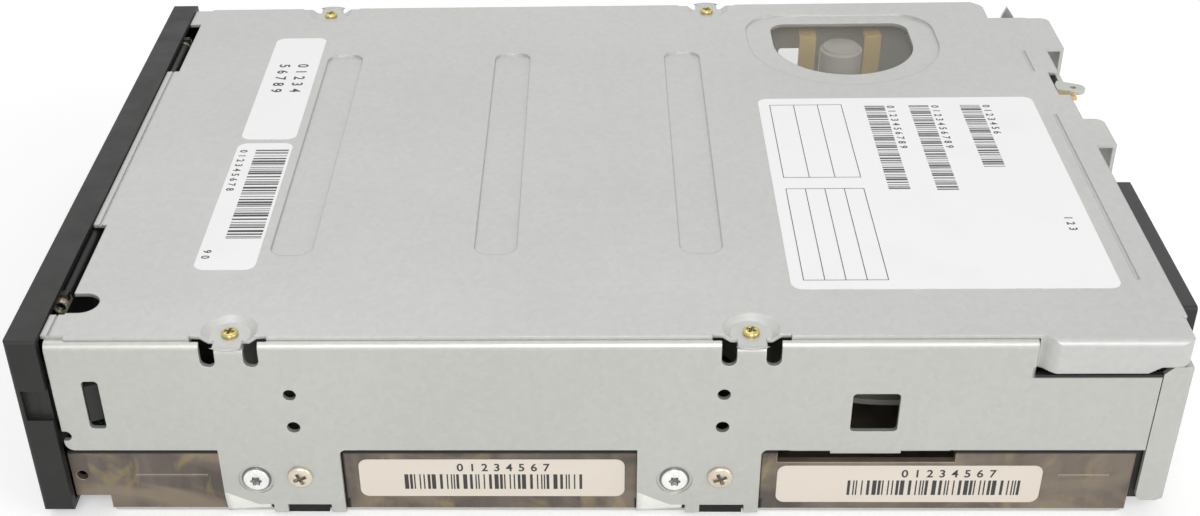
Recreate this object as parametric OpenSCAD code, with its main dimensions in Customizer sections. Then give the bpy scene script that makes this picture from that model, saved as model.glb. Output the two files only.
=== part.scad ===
// Half-height tape drive for a 5.25 inch bay. X runs from the bezel to the rear panel,
// Y from the right side to the left side as seen from the front, and Z upwards.
// The origin lies under the middle of the drive, on its mounting plane.

/* [Body] */
// Width over the steel side plates
body_w = 146; // [145:0.5:150]
// Length from the bezel's back to the back of the rear panel
body_l = 206.5; // [206:0.5:212]
// Height of the top cover above the mounting plane
body_h = 41.5; // [41.3:0.1:44]
// Thickness of the side plates and the rear panel
plate_t = 1; // [0.8:0.1:1.2]
// Thickness of the top cover
cover_t = 0.8; // [0.6:0.1:1]
// Outer radius of the bend along the top of a side plate
plate_bend_r = 1.5; // [1.2:0.1:2]
// Width of the flange that the cover lies on
flange_w = 6.6; // [6:0.2:9]
// Height of the feet of the side plates above the mounting plane
leg_z = 1.2; // [0.8:0.1:1.4]

/* [Mounting holes] */
// Distance of the first holes from the bezel's back
hole_x = 44.5; // [43:0.25:47.5]
// Spacing of the holes along each side
hole_pitch = 79.25; // [79:0.25:79.5]
// Height of the threaded holes in the side plates
side_hole_z = 21.84; // [21.5:0.01:22.2]
// Height of the cross-head screws in the legs
low_screw_z = 10; // [9.5:0.1:10.2]
// Height of the plain holes near the top of the side plates
high_hole_z = 29.3; // [27:0.1:30]
// Spacing of the bottom holes across the drive
bottom_hole_w = 139.7; // [139:0.1:140]
// Depth of the bottom holes
bottom_hole_depth = 5; // [4:0.5:5.5]
// Core radius of an M3 thread
thread_r = 1.25; // [1.2:0.05:1.3]

/* [Side plates] */
// Distance of the plates' front edge from the bezel
plate_x = 0.8; // [0.6:0.1:1.5]
// Height of the edge above the windows in the lower side
window_z = 16.4; // [15.5:0.1:17]
// Place of the front leg
leg_x = 29.5; // [28:0.5:30.5]
// Width of a leg
leg_w = 23; // [22:0.5:24]
// Distance from one leg to the next
leg_pitch = 78.7; // [78:0.1:79.5]
// Place of the first star screw
star_x = 36; // [35.5:0.1:36.8]
// Height of the star screws
star_z = 9.2; // [9:0.1:10]
// Place of the first cover tab
tab_x = 34.4; // [34:0.1:36]
// Distance from one cover tab to the next
tab_pitch = 93.9; // [92:0.1:95]
// Half width of the tab between its two slots
tab_half = 2.6; // [2.3:0.1:2.9]
// Width of the slots beside a tab
tab_slot_w = 2.75; // [2.4:0.05:3]
// Height of the slots' round ends
tab_slot_z = 35.7; // [34.5:0.1:36.5]
// How far a tab lies below the top
tab_drop = 1; // [0.6:0.1:1.2]
// Size of the square hole
square_hole = 8.6; // [7:0.1:9.5]
// Place of the square hole
square_x = 151.3; // [148:0.1:155]
// Height of the square hole's middle
square_z = 25.1; // [23:0.1:26]
// Where the upper edge steps down for the cover's skirt
step_x = 178.7; // [177:0.1:182]
// Height of the lowered rear edge
step_z = 33.6; // [31:0.1:34]

/* [Top cover] */
// How far the cover's long edges lie inside the side plates
cover_inset = 1.2; // [0.8:0.1:1.6]
// Radius of the fold along the skirt at the cover's rear corner
skirt_fold_r = 1.2; // [0.9:0.1:1.6]
// Place of the first pressed rib
rib_x = 41.5; // [41:0.1:44]
// Spacing of the pressed ribs
rib_pitch = 39.7; // [38:0.1:40]
// Width of a rib
rib_w = 8.2; // [6:0.1:9]
// Length of a rib
rib_l = 89.4; // [70:0.1:95]
// Depth of the ribs pressed into the cover
rib_depth = 0.5; // [0.2:0.05:0.6]
// Middle of the viewing window along the drive
view_x = 159.4; // [158:0.1:161]
// Middle of the viewing window's round side
view_y = 49.4; // [47:0.1:50]
// Radius of the viewing window
view_r = 16.4; // [14:0.1:17.5]
// Height of the straight side above the middle
view_up = 11.6; // [11:0.1:13]
// Width of the dished rim round the window
view_rim = 6; // [4:0.1:6.4]
// Reach of the two rear tongues
tongue_x = 210.2; // [209.8:0.1:213]

/* [Bezel] */
// Thickness of the bezel
bezel_t = 5.9; // [5.5:0.1:6.5]
// Width of the bezel
bezel_w = 148; // [148:0.1:153]
// Height of the bezel's upper edge
bezel_top = 42; // [41.8:0.1:44]
// Height of the bezel's lower edge
bezel_low = 2.2; // [0.6:0.1:2.4]
// Thickness of the bezel's face
face_t = 2.5; // [2.2:0.1:2.7]
// Width of the cartridge slot
slot_w = 107.2; // [106.5:0.1:107.8]
// Lower edge of the cartridge slot
slot_low = 12.2; // [11.8:0.1:12.8]
// Upper edge of the cartridge slot
slot_top = 37.5; // [37:0.1:37.9]

/* [Door] */
// Height of the door's pivot
door_pivot_z = 38.9; // [38.8:0.1:39]
// Thickness of the door
door_t = 2; // [1.6:0.1:2.2]
// Radius of the door's barrel
door_barrel_r = 1.5; // [1.4:0.1:1.5]
// Radius of the door's shaft
door_shaft_r = 1; // [0.8:0.05:1.05]
// Wall of the bushes round the shaft
bush_wall = 0.35; // [0.3:0.05:0.4]

/* [Cartridge] */
// Width of the cartridge bay
bay_w = 107; // [106.4:0.1:107.2]
// Height of the cartridge's underside before it is lowered
bay_z = 12; // [11.8:0.1:12.4]
// Clear height of the cartridge bay
bay_h = 26.5; // [26:0.1:26.6]
// Rear end of the cartridge bay
bay_end = 107; // [106.5:0.1:107.2]
// How far the receiver lowers the cartridge
lower_travel = 3; // [2.5:0.1:3]
// How far the cam plates slide to do so
cam_travel = 12; // [10:0.1:12]

/* [Hidden] */
$fn = 48;

// Common values
half_w = body_w / 2;
plate_in = half_w - plate_t;
cover_low = body_h - cover_t;
edge_y = half_w - cover_inset;
skirt_z = step_z + 1;
panel_top = step_z + 1.6;
mid_x = (tongue_x - bezel_t) / 2;
overrun = 1;
press_gap = 0.05;
run_gap = 0.06;
free_gap = 0.3;
hole_xs = [hole_x, hole_x + hole_pitch];
tab_xs = [tab_x, tab_x + tab_pitch];
leg_xs = [leg_x, leg_x + leg_pitch];
star_xs = [star_x, star_x + hole_pitch];

module at_origin() {
    translate([-mid_x, 0, 0]) children();
}

module slab_x(lo, hi) {
    translate([lo, 0, 0]) rotate([90, 0, 90]) linear_extrude(hi - lo) children();
}

module slab_y(lo, hi) {
    translate([0, hi, 0]) rotate([90, 0, 0]) linear_extrude(hi - lo) children();
}

module slab_z(lo, hi) {
    translate([0, 0, lo]) linear_extrude(hi - lo) children();
}

module span(a_lo, a_hi, b_lo, b_hi) {
    translate([a_lo, b_lo]) square([a_hi - a_lo, b_hi - b_lo]);
}

module soft_span(a_lo, a_hi, b_lo, b_hi, r) {
    span(a_lo + r, a_hi - r, b_lo, b_hi);
    span(a_lo, a_hi, b_lo + r, b_hi - r);
    for (a = [a_lo + r, a_hi - r], b = [b_lo + r, b_hi - r]) translate([a, b]) circle(r);
}

// A straight slot of half width r between two points on the A axis
module pill(a_lo, a_hi, b, r) {
    span(a_lo + r, a_hi - r, b - r, b + r);
    for (a = [a_lo + r, a_hi - r]) translate([a, b]) circle(r);
}

module block(x_lo, x_hi, y_lo, y_hi, z_lo, z_hi) {
    translate([x_lo, y_lo, z_lo]) cube([x_hi - x_lo, y_hi - y_lo, z_hi - z_lo]);
}

module rod_x(lo, hi, y, z, r) {
    translate([lo, y, z]) rotate([0, 90, 0]) cylinder(h = hi - lo, r = r);
}

module rod_y(lo, hi, x, z, r) {
    translate([x, hi, z]) rotate([90, 0, 0]) cylinder(h = hi - lo, r = r);
}

module rod_z(lo, hi, x, y, r) {
    translate([x, y, lo]) cylinder(h = hi - lo, r = r);
}

module mirrored() {
    children();
    mirror([0, 1, 0]) children();
}

// The corner that a bend of radius r takes off a square corner at the origin
module bend_cut(r) {
    difference() {
        translate([-overrun, -overrun]) square(r + overrun);
        translate([r, r]) circle(r);
    }
}

// One unbroken coil of round wire about the Z axis, from the origin upwards
module coil(r, wire_r, pitch, turns) {
    steps = 12;
    sides = 6;
    rings = steps * turns;
    points = [for (i = [0:rings]) for (k = [0:sides - 1])
        let (a = 360 * i / steps, w = 360 * k / sides)
        [(r + wire_r * cos(w)) * cos(a), (r + wire_r * cos(w)) * sin(a),
            wire_r * sin(w) + pitch * i / steps]];
    walls = [for (i = [0:rings - 1]) for (k = [0:sides - 1])
        let (a = i * sides + k, b = i * sides + (k + 1) % sides)
        each [[a, b + sides, b], [a, a + sides, b + sides]]];
    last = rings * sides;
    ends = [[for (k = [0:sides - 1]) k], [for (k = [sides - 1:-1:0]) last + k]];
    polyhedron(points, concat(walls, ends));
}

// Base casting
deck_z = 5.6;
deck_t = 1.4;
deck_top = deck_z + deck_t;
wall_out = plate_in - 0.5;
wall_t = 1.5;
wall_in = wall_out - wall_t;
wall_low = 1;
wall_top = window_z - 1.4;
base_x = 0.2;
base_end = body_l - 6;
deck_x = 6;
nose_x = 6.8;
nose_z = 4.1;
pad_half = 4.5;
pad_in = bottom_hole_w / 2 - 3.7;
gap_x = [134.4, 167.4];
gap_z = 12.3;
bead_xs = [[12.6, 26.3], [187, 196.2]];
bead_z = 9.1;
bead_r = 0.25;
vent_x = 2.2;
vent_r = 1.1;
boss_r = 2.6;
motor_x = 53.5;
reel_x = 158;
reel_y = -18;
motor_r = 17;
motor_flange_r = 20;
motor_flange_t = 0.6;
board_t = 1.4;
board_z = 3;
board_top = board_z + board_t;
post_spots = [[14, 60], [104, 62], [192, 60]];
post_r = 3;
screw_in_r = 1.1;
ledge_half = 62;
rear_post_xs = [201.5, 204.5];
rear_post_half = 2;
shell_z = 26;
shell_y = [-60.5, -14];
cradle_x = [89, 101];

module side_features() {
    difference() {
        union() {
            slab_y(wall_in, wall_out) difference() {
                span(base_x, base_end, wall_low, wall_top);
                span(base_x - overrun, nose_x, wall_low - overrun, nose_z);
                span(gap_x[0], gap_x[1], gap_z, wall_top + overrun);
            }
            for (x = hole_xs) block(x - pad_half, x + pad_half, pad_in, wall_out, 0, deck_z);
            for (x = hole_xs) rod_y(pad_in, wall_in + overrun, x, low_screw_z, boss_r);
            for (x = star_xs) rod_y(pad_in, wall_in + overrun, x, star_z, boss_r);
            for (g = bead_xs) rod_x(g[0], g[1], wall_out - bead_r / 2, bead_z, bead_r);
        }
        for (x = hole_xs) rod_z(-overrun, bottom_hole_depth, x, bottom_hole_w / 2, thread_r);
        for (x = hole_xs) rod_y(pad_in - overrun, half_w, x, low_screw_z, screw_in_r + press_gap);
        for (x = star_xs) rod_y(pad_in - overrun, half_w, x, star_z, screw_in_r + press_gap);
        rod_y(wall_in - overrun, half_w, vent_x, bead_z, vent_r);
    }
}

module base_casting() color("#7a6f66") at_origin() {
    difference() {
        union() {
            mirrored() side_features();
            block(deck_x, base_end, -wall_in, wall_in, deck_z, deck_top);
            block(base_end - overrun, body_l - plate_t, -ledge_half, ledge_half, deck_z, deck_top);
            block(base_end - wall_t, base_end, -wall_in, -ledge_half, wall_low, wall_top);
            block(base_end - wall_t, base_end, ledge_half, wall_in, wall_low, wall_top);
            mirrored() for (p = post_spots) rod_z(board_top, deck_z, p[0], p[1], post_r);
            for (y = [shell_y[0] + 2 * rear_post_half, shell_y[1] - 2 * rear_post_half])
                block(rear_post_xs[0], rear_post_xs[1], y - rear_post_half, y + rear_post_half,
                    deck_z, shell_z);
            difference() {
                block(cradle_x[0], cradle_x[1], worm_y - load_motor_r, worm_y + load_motor_r,
                    deck_z, worm_z);
                rod_x(cradle_x[0] - overrun, cradle_x[1] + overrun, worm_y, worm_z,
                    load_motor_r + press_gap);
            }
        }
        mirrored() for (p = post_spots) rod_z(board_z, deck_top + overrun, p[0], p[1],
            screw_in_r + press_gap);
        for (p = [[motor_x, 0], [reel_x, reel_y]])
            rod_z(deck_z - overrun, deck_top + overrun, p[0], p[1], motor_r + free_gap);
    }
}

// Side plates
slot_hole_x = [6.4, 9.5];
slot_hole_z = [21.6, 32.5];
corner_r = 0.8;
plate_end = body_l - 5.2;
lug_w = 2.7;
lug_share = 0.4;
lug_h = 1.9;
foot_h = 5;
foot_l = 6.4;
fillet_r = 1.2;
front_notch_z = 19.8;
front_notch_r = 1.1;
front_corner_r = 1.8;
guard_x = [136.5, 166];
guard_mid_x = [144, 157];
guard_drops = [0.9, 1.5];
guard_t = 0.6;
guard_rise = 2.4;
dimple_r = 3.4;
dimple_depth = 0.35;
high_hole_r = 1.2;
tab_screw_y = half_w - 3.4;
cover_screw_r = 0.9;

module plate_section(h) {
    difference() {
        union() {
            span(-half_w, -plate_in, leg_z, h);
            span(-half_w, flange_w - half_w, h - plate_t, h);
        }
        translate([-half_w, h]) mirror([0, 1]) bend_cut(plate_bend_r);
    }
}

module leg_outline() {
    polygon([[0, window_z + overrun], [leg_w, window_z + overrun], [leg_w, leg_z],
        [leg_w - lug_w, leg_z], [leg_w - lug_w, leg_z + lug_h],
        [leg_w * lug_share + lug_w, leg_z + lug_h], [leg_w * lug_share + lug_w, leg_z],
        [leg_w * lug_share, leg_z], [leg_w * lug_share, leg_z + lug_h], [foot_l, leg_z + lug_h],
        [0, leg_z + foot_h]]);
    difference() {
        span(leg_w - overrun, leg_w + fillet_r, window_z - fillet_r, window_z + overrun);
        translate([leg_w + fillet_r, window_z - fillet_r]) circle(fillet_r);
    }
}

module plate_outline() {
    difference() {
        union() {
            span(plate_x, plate_end, window_z, step_z);
            span(plate_x, step_x, step_z - overrun, cover_low + overrun);
            for (x = leg_xs) translate([x, 0]) leg_outline();
        }
        pill(plate_x - overrun, plate_x + front_notch_r * 1.5, front_notch_z, front_notch_r);
        translate([plate_x, window_z]) bend_cut(front_corner_r);
    }
}

module tab_cut(x) {
    reach = tab_half + tab_slot_w;
    for (s = [-1, 1]) translate([x + s * (tab_half + tab_slot_w / 2), 0]) {
        translate([0, tab_slot_z + tab_slot_w / 2]) circle(tab_slot_w / 2);
        span(-tab_slot_w / 2, tab_slot_w / 2, tab_slot_z + tab_slot_w / 2, body_h);
    }
    span(x - reach + tab_slot_w / 2, x + reach - tab_slot_w / 2,
        cover_low - tab_drop - plate_bend_r, body_h);
}

// Clears the flange under the cover's notches beside a tab
module flange_cut(x) {
    block(x - tab_notch[1], x + tab_notch[1], -plate_in, flange_w + overrun - half_w,
        tab_slot_z, body_h);
}

module side_plate() {
    difference() {
        union() {
            difference() {
                intersection() {
                    slab_x(plate_x, plate_end) plate_section(cover_low);
                    slab_y(-half_w, flange_w - half_w) plate_outline();
                }
                slab_y(-half_w - overrun, flange_w - half_w + overrun) for (x = tab_xs) tab_cut(x);
                for (x = tab_xs) flange_cut(x);
            }
            for (x = tab_xs) intersection() {
                slab_x(x - tab_half, x + tab_half) plate_section(cover_low - tab_drop);
                block(x - tab_half, x + tab_half, -half_w, flange_w - half_w,
                    tab_slot_z, cover_low);
            }
            slab_y(-plate_in - press_gap, guard_t - plate_in) {
                span(guard_x[0], guard_x[1], window_z - guard_drops[0], window_z + guard_rise);
                span(guard_mid_x[0], guard_mid_x[1], window_z - guard_drops[1],
                    window_z + guard_rise);
            }
        }
        for (x = tab_xs) rod_z(tab_slot_z, cover_low, x, -tab_screw_y, cover_screw_r + press_gap);
        for (x = hole_xs) {
            rod_y(-half_w - overrun, -plate_in + overrun, x, side_hole_z, thread_r);
            rod_y(-half_w - overrun, -plate_in + overrun, x, high_hole_z, high_hole_r);
            rod_y(-half_w - overrun, -plate_in + overrun, x, low_screw_z, screw_in_r + press_gap);
        }
        for (x = star_xs) {
            rod_y(-half_w - overrun, -plate_in + overrun, x, star_z, screw_in_r + press_gap);
            rod_y(-half_w - overrun, dimple_depth - half_w, x, star_z, dimple_r);
        }
        slab_y(-half_w - overrun, -plate_in + overrun) {
            soft_span(slot_hole_x[0], slot_hole_x[1], slot_hole_z[0], slot_hole_z[1], corner_r);
            soft_span(square_x - square_hole / 2, square_x + square_hole / 2,
                square_z - square_hole / 2, square_z + square_hole / 2, corner_r);
        }
    }
}

module side_plate_right() color("#c9c8c2") at_origin() side_plate();

module side_plate_left() color("#c9c8c2") at_origin() mirror([0, 1, 0]) side_plate();

// Top cover
cover_x = 0.15;
cover_end = body_l - 0.5;
rib_y = 0.3;
rib_end_r = 3;
view_corner_r = 4;
rim_corner_r = 9;
cone_in_r = 3.8;
cone_out_r = 5.1;
tab_notch = [3.2, 7];
tab_notch_w = tab_notch[1] - tab_notch[0];
tab_notch_y = 0.5;
tab_reach = half_w + 0.2;
corner_notch_x = 4.4;
corner_notch_y = 0.7;
hem_x = 1.4;
hem_w = 0.4;
crease_xs = [200.2, 201.8];
crease_w = 0.7;
crease_depth = 0.25;
crease_shares = [[-0.74, 0.16], [0.45, 0.6]];
far_corner = [[193.5, edge_y], [195.5, half_w - 3], [196.7, half_w - 6.4], [202.2, half_w - 10.6]];
tongue_1 = [44.6, 61.8];
tongue_2 = [-2.4, 9.4];
tongue_r = 2;
tongue_root = [196, 62.2];
lug_slot = [[203.6, 21], [208.6, 32.2]];
skirt_out = half_w + 1;
skirt_r = 3;
skirt_run = 3.4;
skirt_x = step_x + free_gap;
skirt_in = half_w - 7;
skirt_lift = [198.2, 200.4];
skirt_high_z = panel_top + free_gap + 0.4;
wall_share = 0.6;
front_cut_far = [36.8, 63.2];
front_cut_near = [-64.4, -32.5];
front_cut_x = 2.9;
lobe = [5.1, -60.6];
lobe_r = 3.3;

module view_shape(grow, top, r) {
    reach = view_r + grow;
    translate([view_x, view_y]) {
        intersection() {
            circle(reach);
            span(-reach, reach, -reach - overrun, 0);
        }
        span(-reach, reach, -press_gap, top - r);
        span(r - reach, reach - r, 0, top);
        for (s = [-1, 1]) translate([s * (reach - r), top - r]) circle(r);
    }
}

module window_shape(grow) {
    view_shape(grow, view_up + grow, view_corner_r + grow);
}

module rim_shape(grow) {
    view_shape(view_rim + grow, view_up + rim_top + grow, rim_corner_r + grow);
}
rim_top = 4.4;

module ribs_shape(grow) {
    for (k = [0:2]) translate([rib_x + k * rib_pitch, rib_y])
        soft_span(-rib_w / 2 - grow, rib_w / 2 + grow, -rib_l / 2 - grow, rib_l / 2 + grow,
            rib_end_r + grow);
}

// The skirt's outline seen from above, which sweeps out from the cover's edge
module skirt_plan(inset, back) {
    end = cover_end - inset;
    polygon(concat([for (k = [0:8]) [skirt_x + inset * wall_share + skirt_run * k / 8,
        inset - edge_y - (skirt_out - edge_y) * (1 - cos(180 * k / 8)) / 2]],
        [[end - skirt_r, inset - skirt_out], [end - skirt_r, back],
            [skirt_x + inset * wall_share, back]]));
    span(end - skirt_r - press_gap, end, skirt_r - skirt_out, back);
    intersection() {
        translate([cover_end - skirt_r, skirt_r - skirt_out]) circle(skirt_r - inset);
        span(cover_end - skirt_r, cover_end, -skirt_out, skirt_r - skirt_out);
    }
}

module cover_outline() {
    difference() {
        union() {
            span(cover_x, tongue_root[0], -edge_y, edge_y);
            span(cover_x, cover_end, -edge_y, tongue_root[1] - tongue_r);
            span(tongue_root[0] - overrun, cover_end - tongue_r, 0, tongue_root[1]);
            translate([cover_end - tongue_r, tongue_root[1] - tongue_r]) circle(tongue_r);
            for (t = [tongue_1, tongue_2]) {
                span(cover_end - tongue_r, tongue_x, t[0], t[1] - tongue_r);
                soft_span(cover_end - 2 * tongue_r - overrun, tongue_x, t[1] - 2 * tongue_r - overrun,
                    t[1], tongue_r);
            }
        }
        polygon(concat(far_corner, [[far_corner[3][0], half_w + overrun],
            [far_corner[0][0], half_w + overrun]]));
        span(cover_x - overrun, front_cut_x, front_cut_far[0], front_cut_far[1]);
        span(cover_x - overrun, front_cut_x, front_cut_near[0], front_cut_near[1]);
        translate([lobe[0], lobe[1]]) circle(lobe_r);
        span(front_cut_x - overrun, lobe[0], lobe[1] - lobe_r, lobe[1] + lobe_r);
        span(lug_slot[0][0], lug_slot[1][0], lug_slot[0][1], lug_slot[1][1]);
        for (s = [-1, 1]) {
            span(cover_x - overrun, corner_notch_x, s * edge_y - corner_notch_y,
                s * edge_y + corner_notch_y);
            for (x = tab_xs, d = [-1, 1])
                translate([x + d * (tab_notch[0] + tab_notch[1]) / 2, s * edge_y])
                square([tab_notch_w, 2 * tab_notch_y], center = true);
        }
    }
}

// Cuts the fold's outer curve off the skirt's top edge, along the side and round the rear
module fold_cuts() {
    slab_x(skirt_x, cover_end + overrun) translate([-skirt_out, body_h]) mirror([0, 1])
        bend_cut(skirt_fold_r);
    slab_y(-skirt_out - overrun, -skirt_in) translate([cover_end, body_h]) rotate(180)
        bend_cut(skirt_fold_r);
}

module skirt() {
    difference() {
        slab_z(skirt_z, body_h) skirt_plan(0, -skirt_in);
        slab_z(skirt_z - overrun, cover_low) skirt_plan(cover_t, overrun - skirt_in);
        slab_y(-skirt_out - overrun, overrun - skirt_in) polygon([[skirt_lift[0], skirt_z - overrun],
            [skirt_lift[0], skirt_z], [skirt_lift[1], skirt_high_z], [body_l + overrun, skirt_high_z],
            [body_l + overrun, skirt_z - overrun]]);
        fold_cuts();
    }
}

module tab_recess(x, low, grow) {
    translate([x, -tab_screw_y, low - tab_drop])
        cylinder(h = tab_drop, r1 = cone_in_r + grow, r2 = cone_out_r + grow);
    block(x - tab_half, x + tab_half, -tab_reach, -tab_screw_y, low - tab_drop,
        body_h - tab_drop);
}

module tab_opening(x) {
    translate([x, -tab_screw_y, body_h - tab_drop])
        cylinder(h = tab_drop, r1 = cone_in_r, r2 = cone_out_r);
    rod_z(body_h - press_gap, body_h + overrun, x, -tab_screw_y, cone_out_r - press_gap);
    block(x - tab_notch[0], x + tab_notch[0], -half_w - overrun, -tab_screw_y,
        body_h - tab_drop, body_h + overrun);
    rod_z(cover_low - 2 * tab_drop, body_h, x, -tab_screw_y, cover_screw_r + press_gap);
}

// Trims the recess back to the tab, outside the line of the notches
module notch_cuts(x) {
    for (d = [-1, 1]) block(x + d * (tab_half + tab_notch[1]) / 2 - (tab_notch[1] - tab_half) / 2,
        x + d * (tab_half + tab_notch[1]) / 2 + (tab_notch[1] - tab_half) / 2, -half_w - overrun,
        tab_notch_y - edge_y, cover_low - 2 * tab_drop, body_h + overrun);
}

module tongue_flange(t) {
    block(tongue_x - cover_t, tongue_x, t[0], t[1] - tongue_r, step_z, cover_low + press_gap);
}

module top_cover() color("#cbcbc9") at_origin() {
    difference() {
        union() {
            slab_z(cover_low, body_h) cover_outline();
            slab_z(cover_low - rib_depth, body_h - cover_t / 2) {
                ribs_shape(rib_slope);
                rim_shape(rib_slope);
            }
            mirrored() for (x = tab_xs) tab_recess(x, cover_low, free_gap);
            tongue_flange(tongue_1);
            tongue_flange(tongue_2);
        }
        slab_z(body_h - rib_depth, body_h + overrun) {
            ribs_shape(0);
            rim_shape(0);
        }
        mirrored() for (x = tab_xs) {
            tab_opening(x);
            notch_cuts(x);
        }
        slab_z(cover_low - overrun, body_h + overrun) window_shape(0);
        slab_z(body_h - crease_depth, body_h + overrun) {
            span(hem_x, hem_x + hem_w, front_cut_near[1], front_cut_far[0]);
            span(hem_x, hem_x + hem_w, corner_notch_y - edge_y, front_cut_near[0]);
            for (k = [0, 1]) span(crease_xs[0], crease_xs[0] + crease_w,
                crease_shares[k][0] * half_w, crease_shares[k][1] * half_w);
        }
        rear_corner_cut();
    }
    skirt();
}
rib_slope = 0.6;

// Clears the plain sheet where the skirt's own top takes over
module rear_corner_cut() {
    slab_z(cover_low - overrun, body_h + overrun)
        span(skirt_x + press_gap, body_l + overrun, -half_w - overrun, -skirt_in - press_gap);
}

// Lens in the viewing window
lens_lip = 2;
lens_t = 1;

module window_lens() color([0.35, 0.35, 0.33, 0.55]) at_origin() {
    lens_top = cover_low - rib_depth;
    slab_z(lens_top - lens_t, lens_top) window_shape(lens_lip);
    slab_z(lens_top - press_gap, body_h - rib_depth) window_shape(-2 * press_gap);
}

// Bezel
rim_t = 1.1;
side_rim_t = 2;
bezel_half = bezel_w / 2;
slot_half = slot_w / 2;
flare = 1.2;
bezel_corner_r = 0.8;
rib_out = slot_half + 2.8;
guide_t = 1;
ear_in = slot_half + 2;
ear_t = 1.4;
ear_z = door_pivot_z - 2.4;
bush_r = door_shaft_r + run_gap + bush_wall;
arm_in = plate_in - 1.8;
arm_z = [23, 31];
hook_gap = 0.25;
button_y = -64;
button_z = 15;
button_w = 8.4;
button_h = 5.4;
lens_zs = [22, 25.5, 29];
lens_w = 3.2;
lens_h = 1.6;
front_board_x = 3.8;
front_board_t = 1.2;
front_board_half = 5.6;
front_boss_zs = [8.6, 33.5];
front_boss_r = 2;
snap_x = [-4.8, 1];
snap_z = [24.2, 31];
snap_depth = 1.2;

module slot_funnel() {
    lip = -bezel_t - overrun;
    grow = flare + overrun;
    intersection() {
        slab_y(-bezel_half, bezel_half) polygon([[lip, slot_low - grow], [flare - bezel_t, slot_low],
            [overrun, slot_low], [overrun, slot_top], [flare - bezel_t, slot_top],
            [lip, slot_top + grow]]);
        slab_z(0, body_h) polygon([[lip, -slot_half - grow], [flare - bezel_t, -slot_half],
            [overrun, -slot_half], [overrun, slot_half], [flare - bezel_t, slot_half],
            [lip, slot_half + grow]]);
    }
}

module bezel() color("#35353a") at_origin() {
    difference() {
        union() {
            difference() {
                intersection() {
                    slab_x(-bezel_t, 0)
                        soft_span(-bezel_half, bezel_half, bezel_low, bezel_top, bezel_corner_r);
                    slab_z(0, bezel_top) soft_span(-bezel_t, bezel_corner_r,
                        -bezel_half, bezel_half, bezel_corner_r);
                }
                slab_x(face_t - bezel_t, overrun) span(side_rim_t - bezel_half,
                    bezel_half - side_rim_t, bezel_low + rim_t, bezel_top - rim_t);
            }
            mirrored() {
                block(face_t - bezel_t - press_gap, 0, rib_out, rib_out + guide_t,
                    bezel_low + rim_t - press_gap, ear_z);
                block(face_t - bezel_t - press_gap, door_shaft_r + bush_wall, ear_in, ear_in + ear_t,
                    ear_z, bezel_top - rim_t + press_gap);
            }
            for (z = front_boss_zs) rod_x(face_t - bezel_t - press_gap, front_board_x, button_y, z,
                front_boss_r);
        }
        slot_funnel();
        mirrored() {
            rod_y(ear_in - overrun, ear_in + ear_t + overrun, 0, door_pivot_z, bush_r + press_gap);
            block(snap_x[0], snap_x[1], bezel_half - snap_depth, bezel_half + overrun,
                snap_z[0], snap_z[1]);
        }
        slab_x(-bezel_t - overrun, overrun) {
            translate([button_y, button_z]) square([button_w + 2 * free_gap,
                button_h + 2 * free_gap], center = true);
            for (z = lens_zs) translate([button_y, z])
                square([lens_w + 2 * press_gap, lens_h + 2 * press_gap], center = true);
        }
    }
    mirrored() {
        block(-side_rim_t, slot_hole_x[1] - hook_gap, arm_in, plate_in - free_gap,
            arm_z[0], arm_z[1]);
        slab_z(arm_z[0], arm_z[1]) polygon([[slot_hole_x[0] + hook_gap, plate_in - free_gap],
            [slot_hole_x[1] - hook_gap, plate_in - free_gap],
            [slot_hole_x[0] + hook_gap, half_w - free_gap]]);
        block(-side_rim_t, 0, arm_in, bezel_half - side_rim_t / 2, arm_z[0], arm_z[1]);
    }
}

// Cartridge door
door_low = slot_low - 0.6;
door_half = slot_half + 1;
spring_y = [30, 36];
spring_wire_r = 0.25;
spring_turns = 6;
spring_r = door_shaft_r + spring_wire_r + 2 * press_gap;
bush_in = door_half + free_gap;
bush_out = ear_in + ear_t + 1.3;
door_rib_t = 0.6;
door_rib_shares = [0.3, 0.5, 0.7];
door_rib_l_share = 0.9;

module cartridge_door() color("#2b2b2e") at_origin() difference() {
    union() {
        slab_y(-door_half, door_half) {
            circle_at = door_pivot_z;
            translate([0, circle_at]) circle(door_barrel_r);
            span(-door_t / 2, door_t / 2, door_low + door_t / 2, door_pivot_z);
            translate([0, door_low + door_t / 2]) circle(door_t / 2);
        }
    }
    rod_y(-door_half - overrun, door_half + overrun, 0, door_pivot_z, door_shaft_r + press_gap);
    slab_y(spring_y[0], spring_y[1]) difference() {
        span(-2 * door_barrel_r, 2 * door_barrel_r, door_pivot_z - door_barrel_r - free_gap,
            door_pivot_z + 2 * door_barrel_r);
    }
    for (share = door_rib_shares) block(-door_t, door_rib_t - door_t / 2,
        -door_half * door_rib_l_share, door_half * door_rib_l_share,
        door_low + share * (door_pivot_z - door_low),
        door_low + share * (door_pivot_z - door_low) + door_rib_t);
}

module door_shaft() color("#55565a") at_origin()
    rod_y(-bush_out + bush_wall * 2, bush_out - bush_wall * 2, 0, door_pivot_z, door_shaft_r);

module door_bushes() color("#d9c58a") at_origin() mirrored() difference() {
    rod_y(bush_in, bush_out, 0, door_pivot_z, bush_r);
    rod_y(bush_in - overrun, bush_out + overrun, 0, door_pivot_z, door_shaft_r + run_gap);
}

module door_spring() color("#9a9a9c") at_origin()
    translate([0, spring_y[0] + 2 * spring_wire_r, door_pivot_z]) rotate([-90, 0, 0])
    coil(spring_r, spring_wire_r, (spring_y[1] - spring_y[0] - 4 * spring_wire_r) / spring_turns,
        spring_turns);

// Eject button and the small board behind the bezel
button_travel = 1.2;
button_skirt = 0.8;
button_sink = 0.2;
switch_t = 2.2;
stem_r = 1;
button_spring_wire_r = 0.15;
button_turns = 3;

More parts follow.
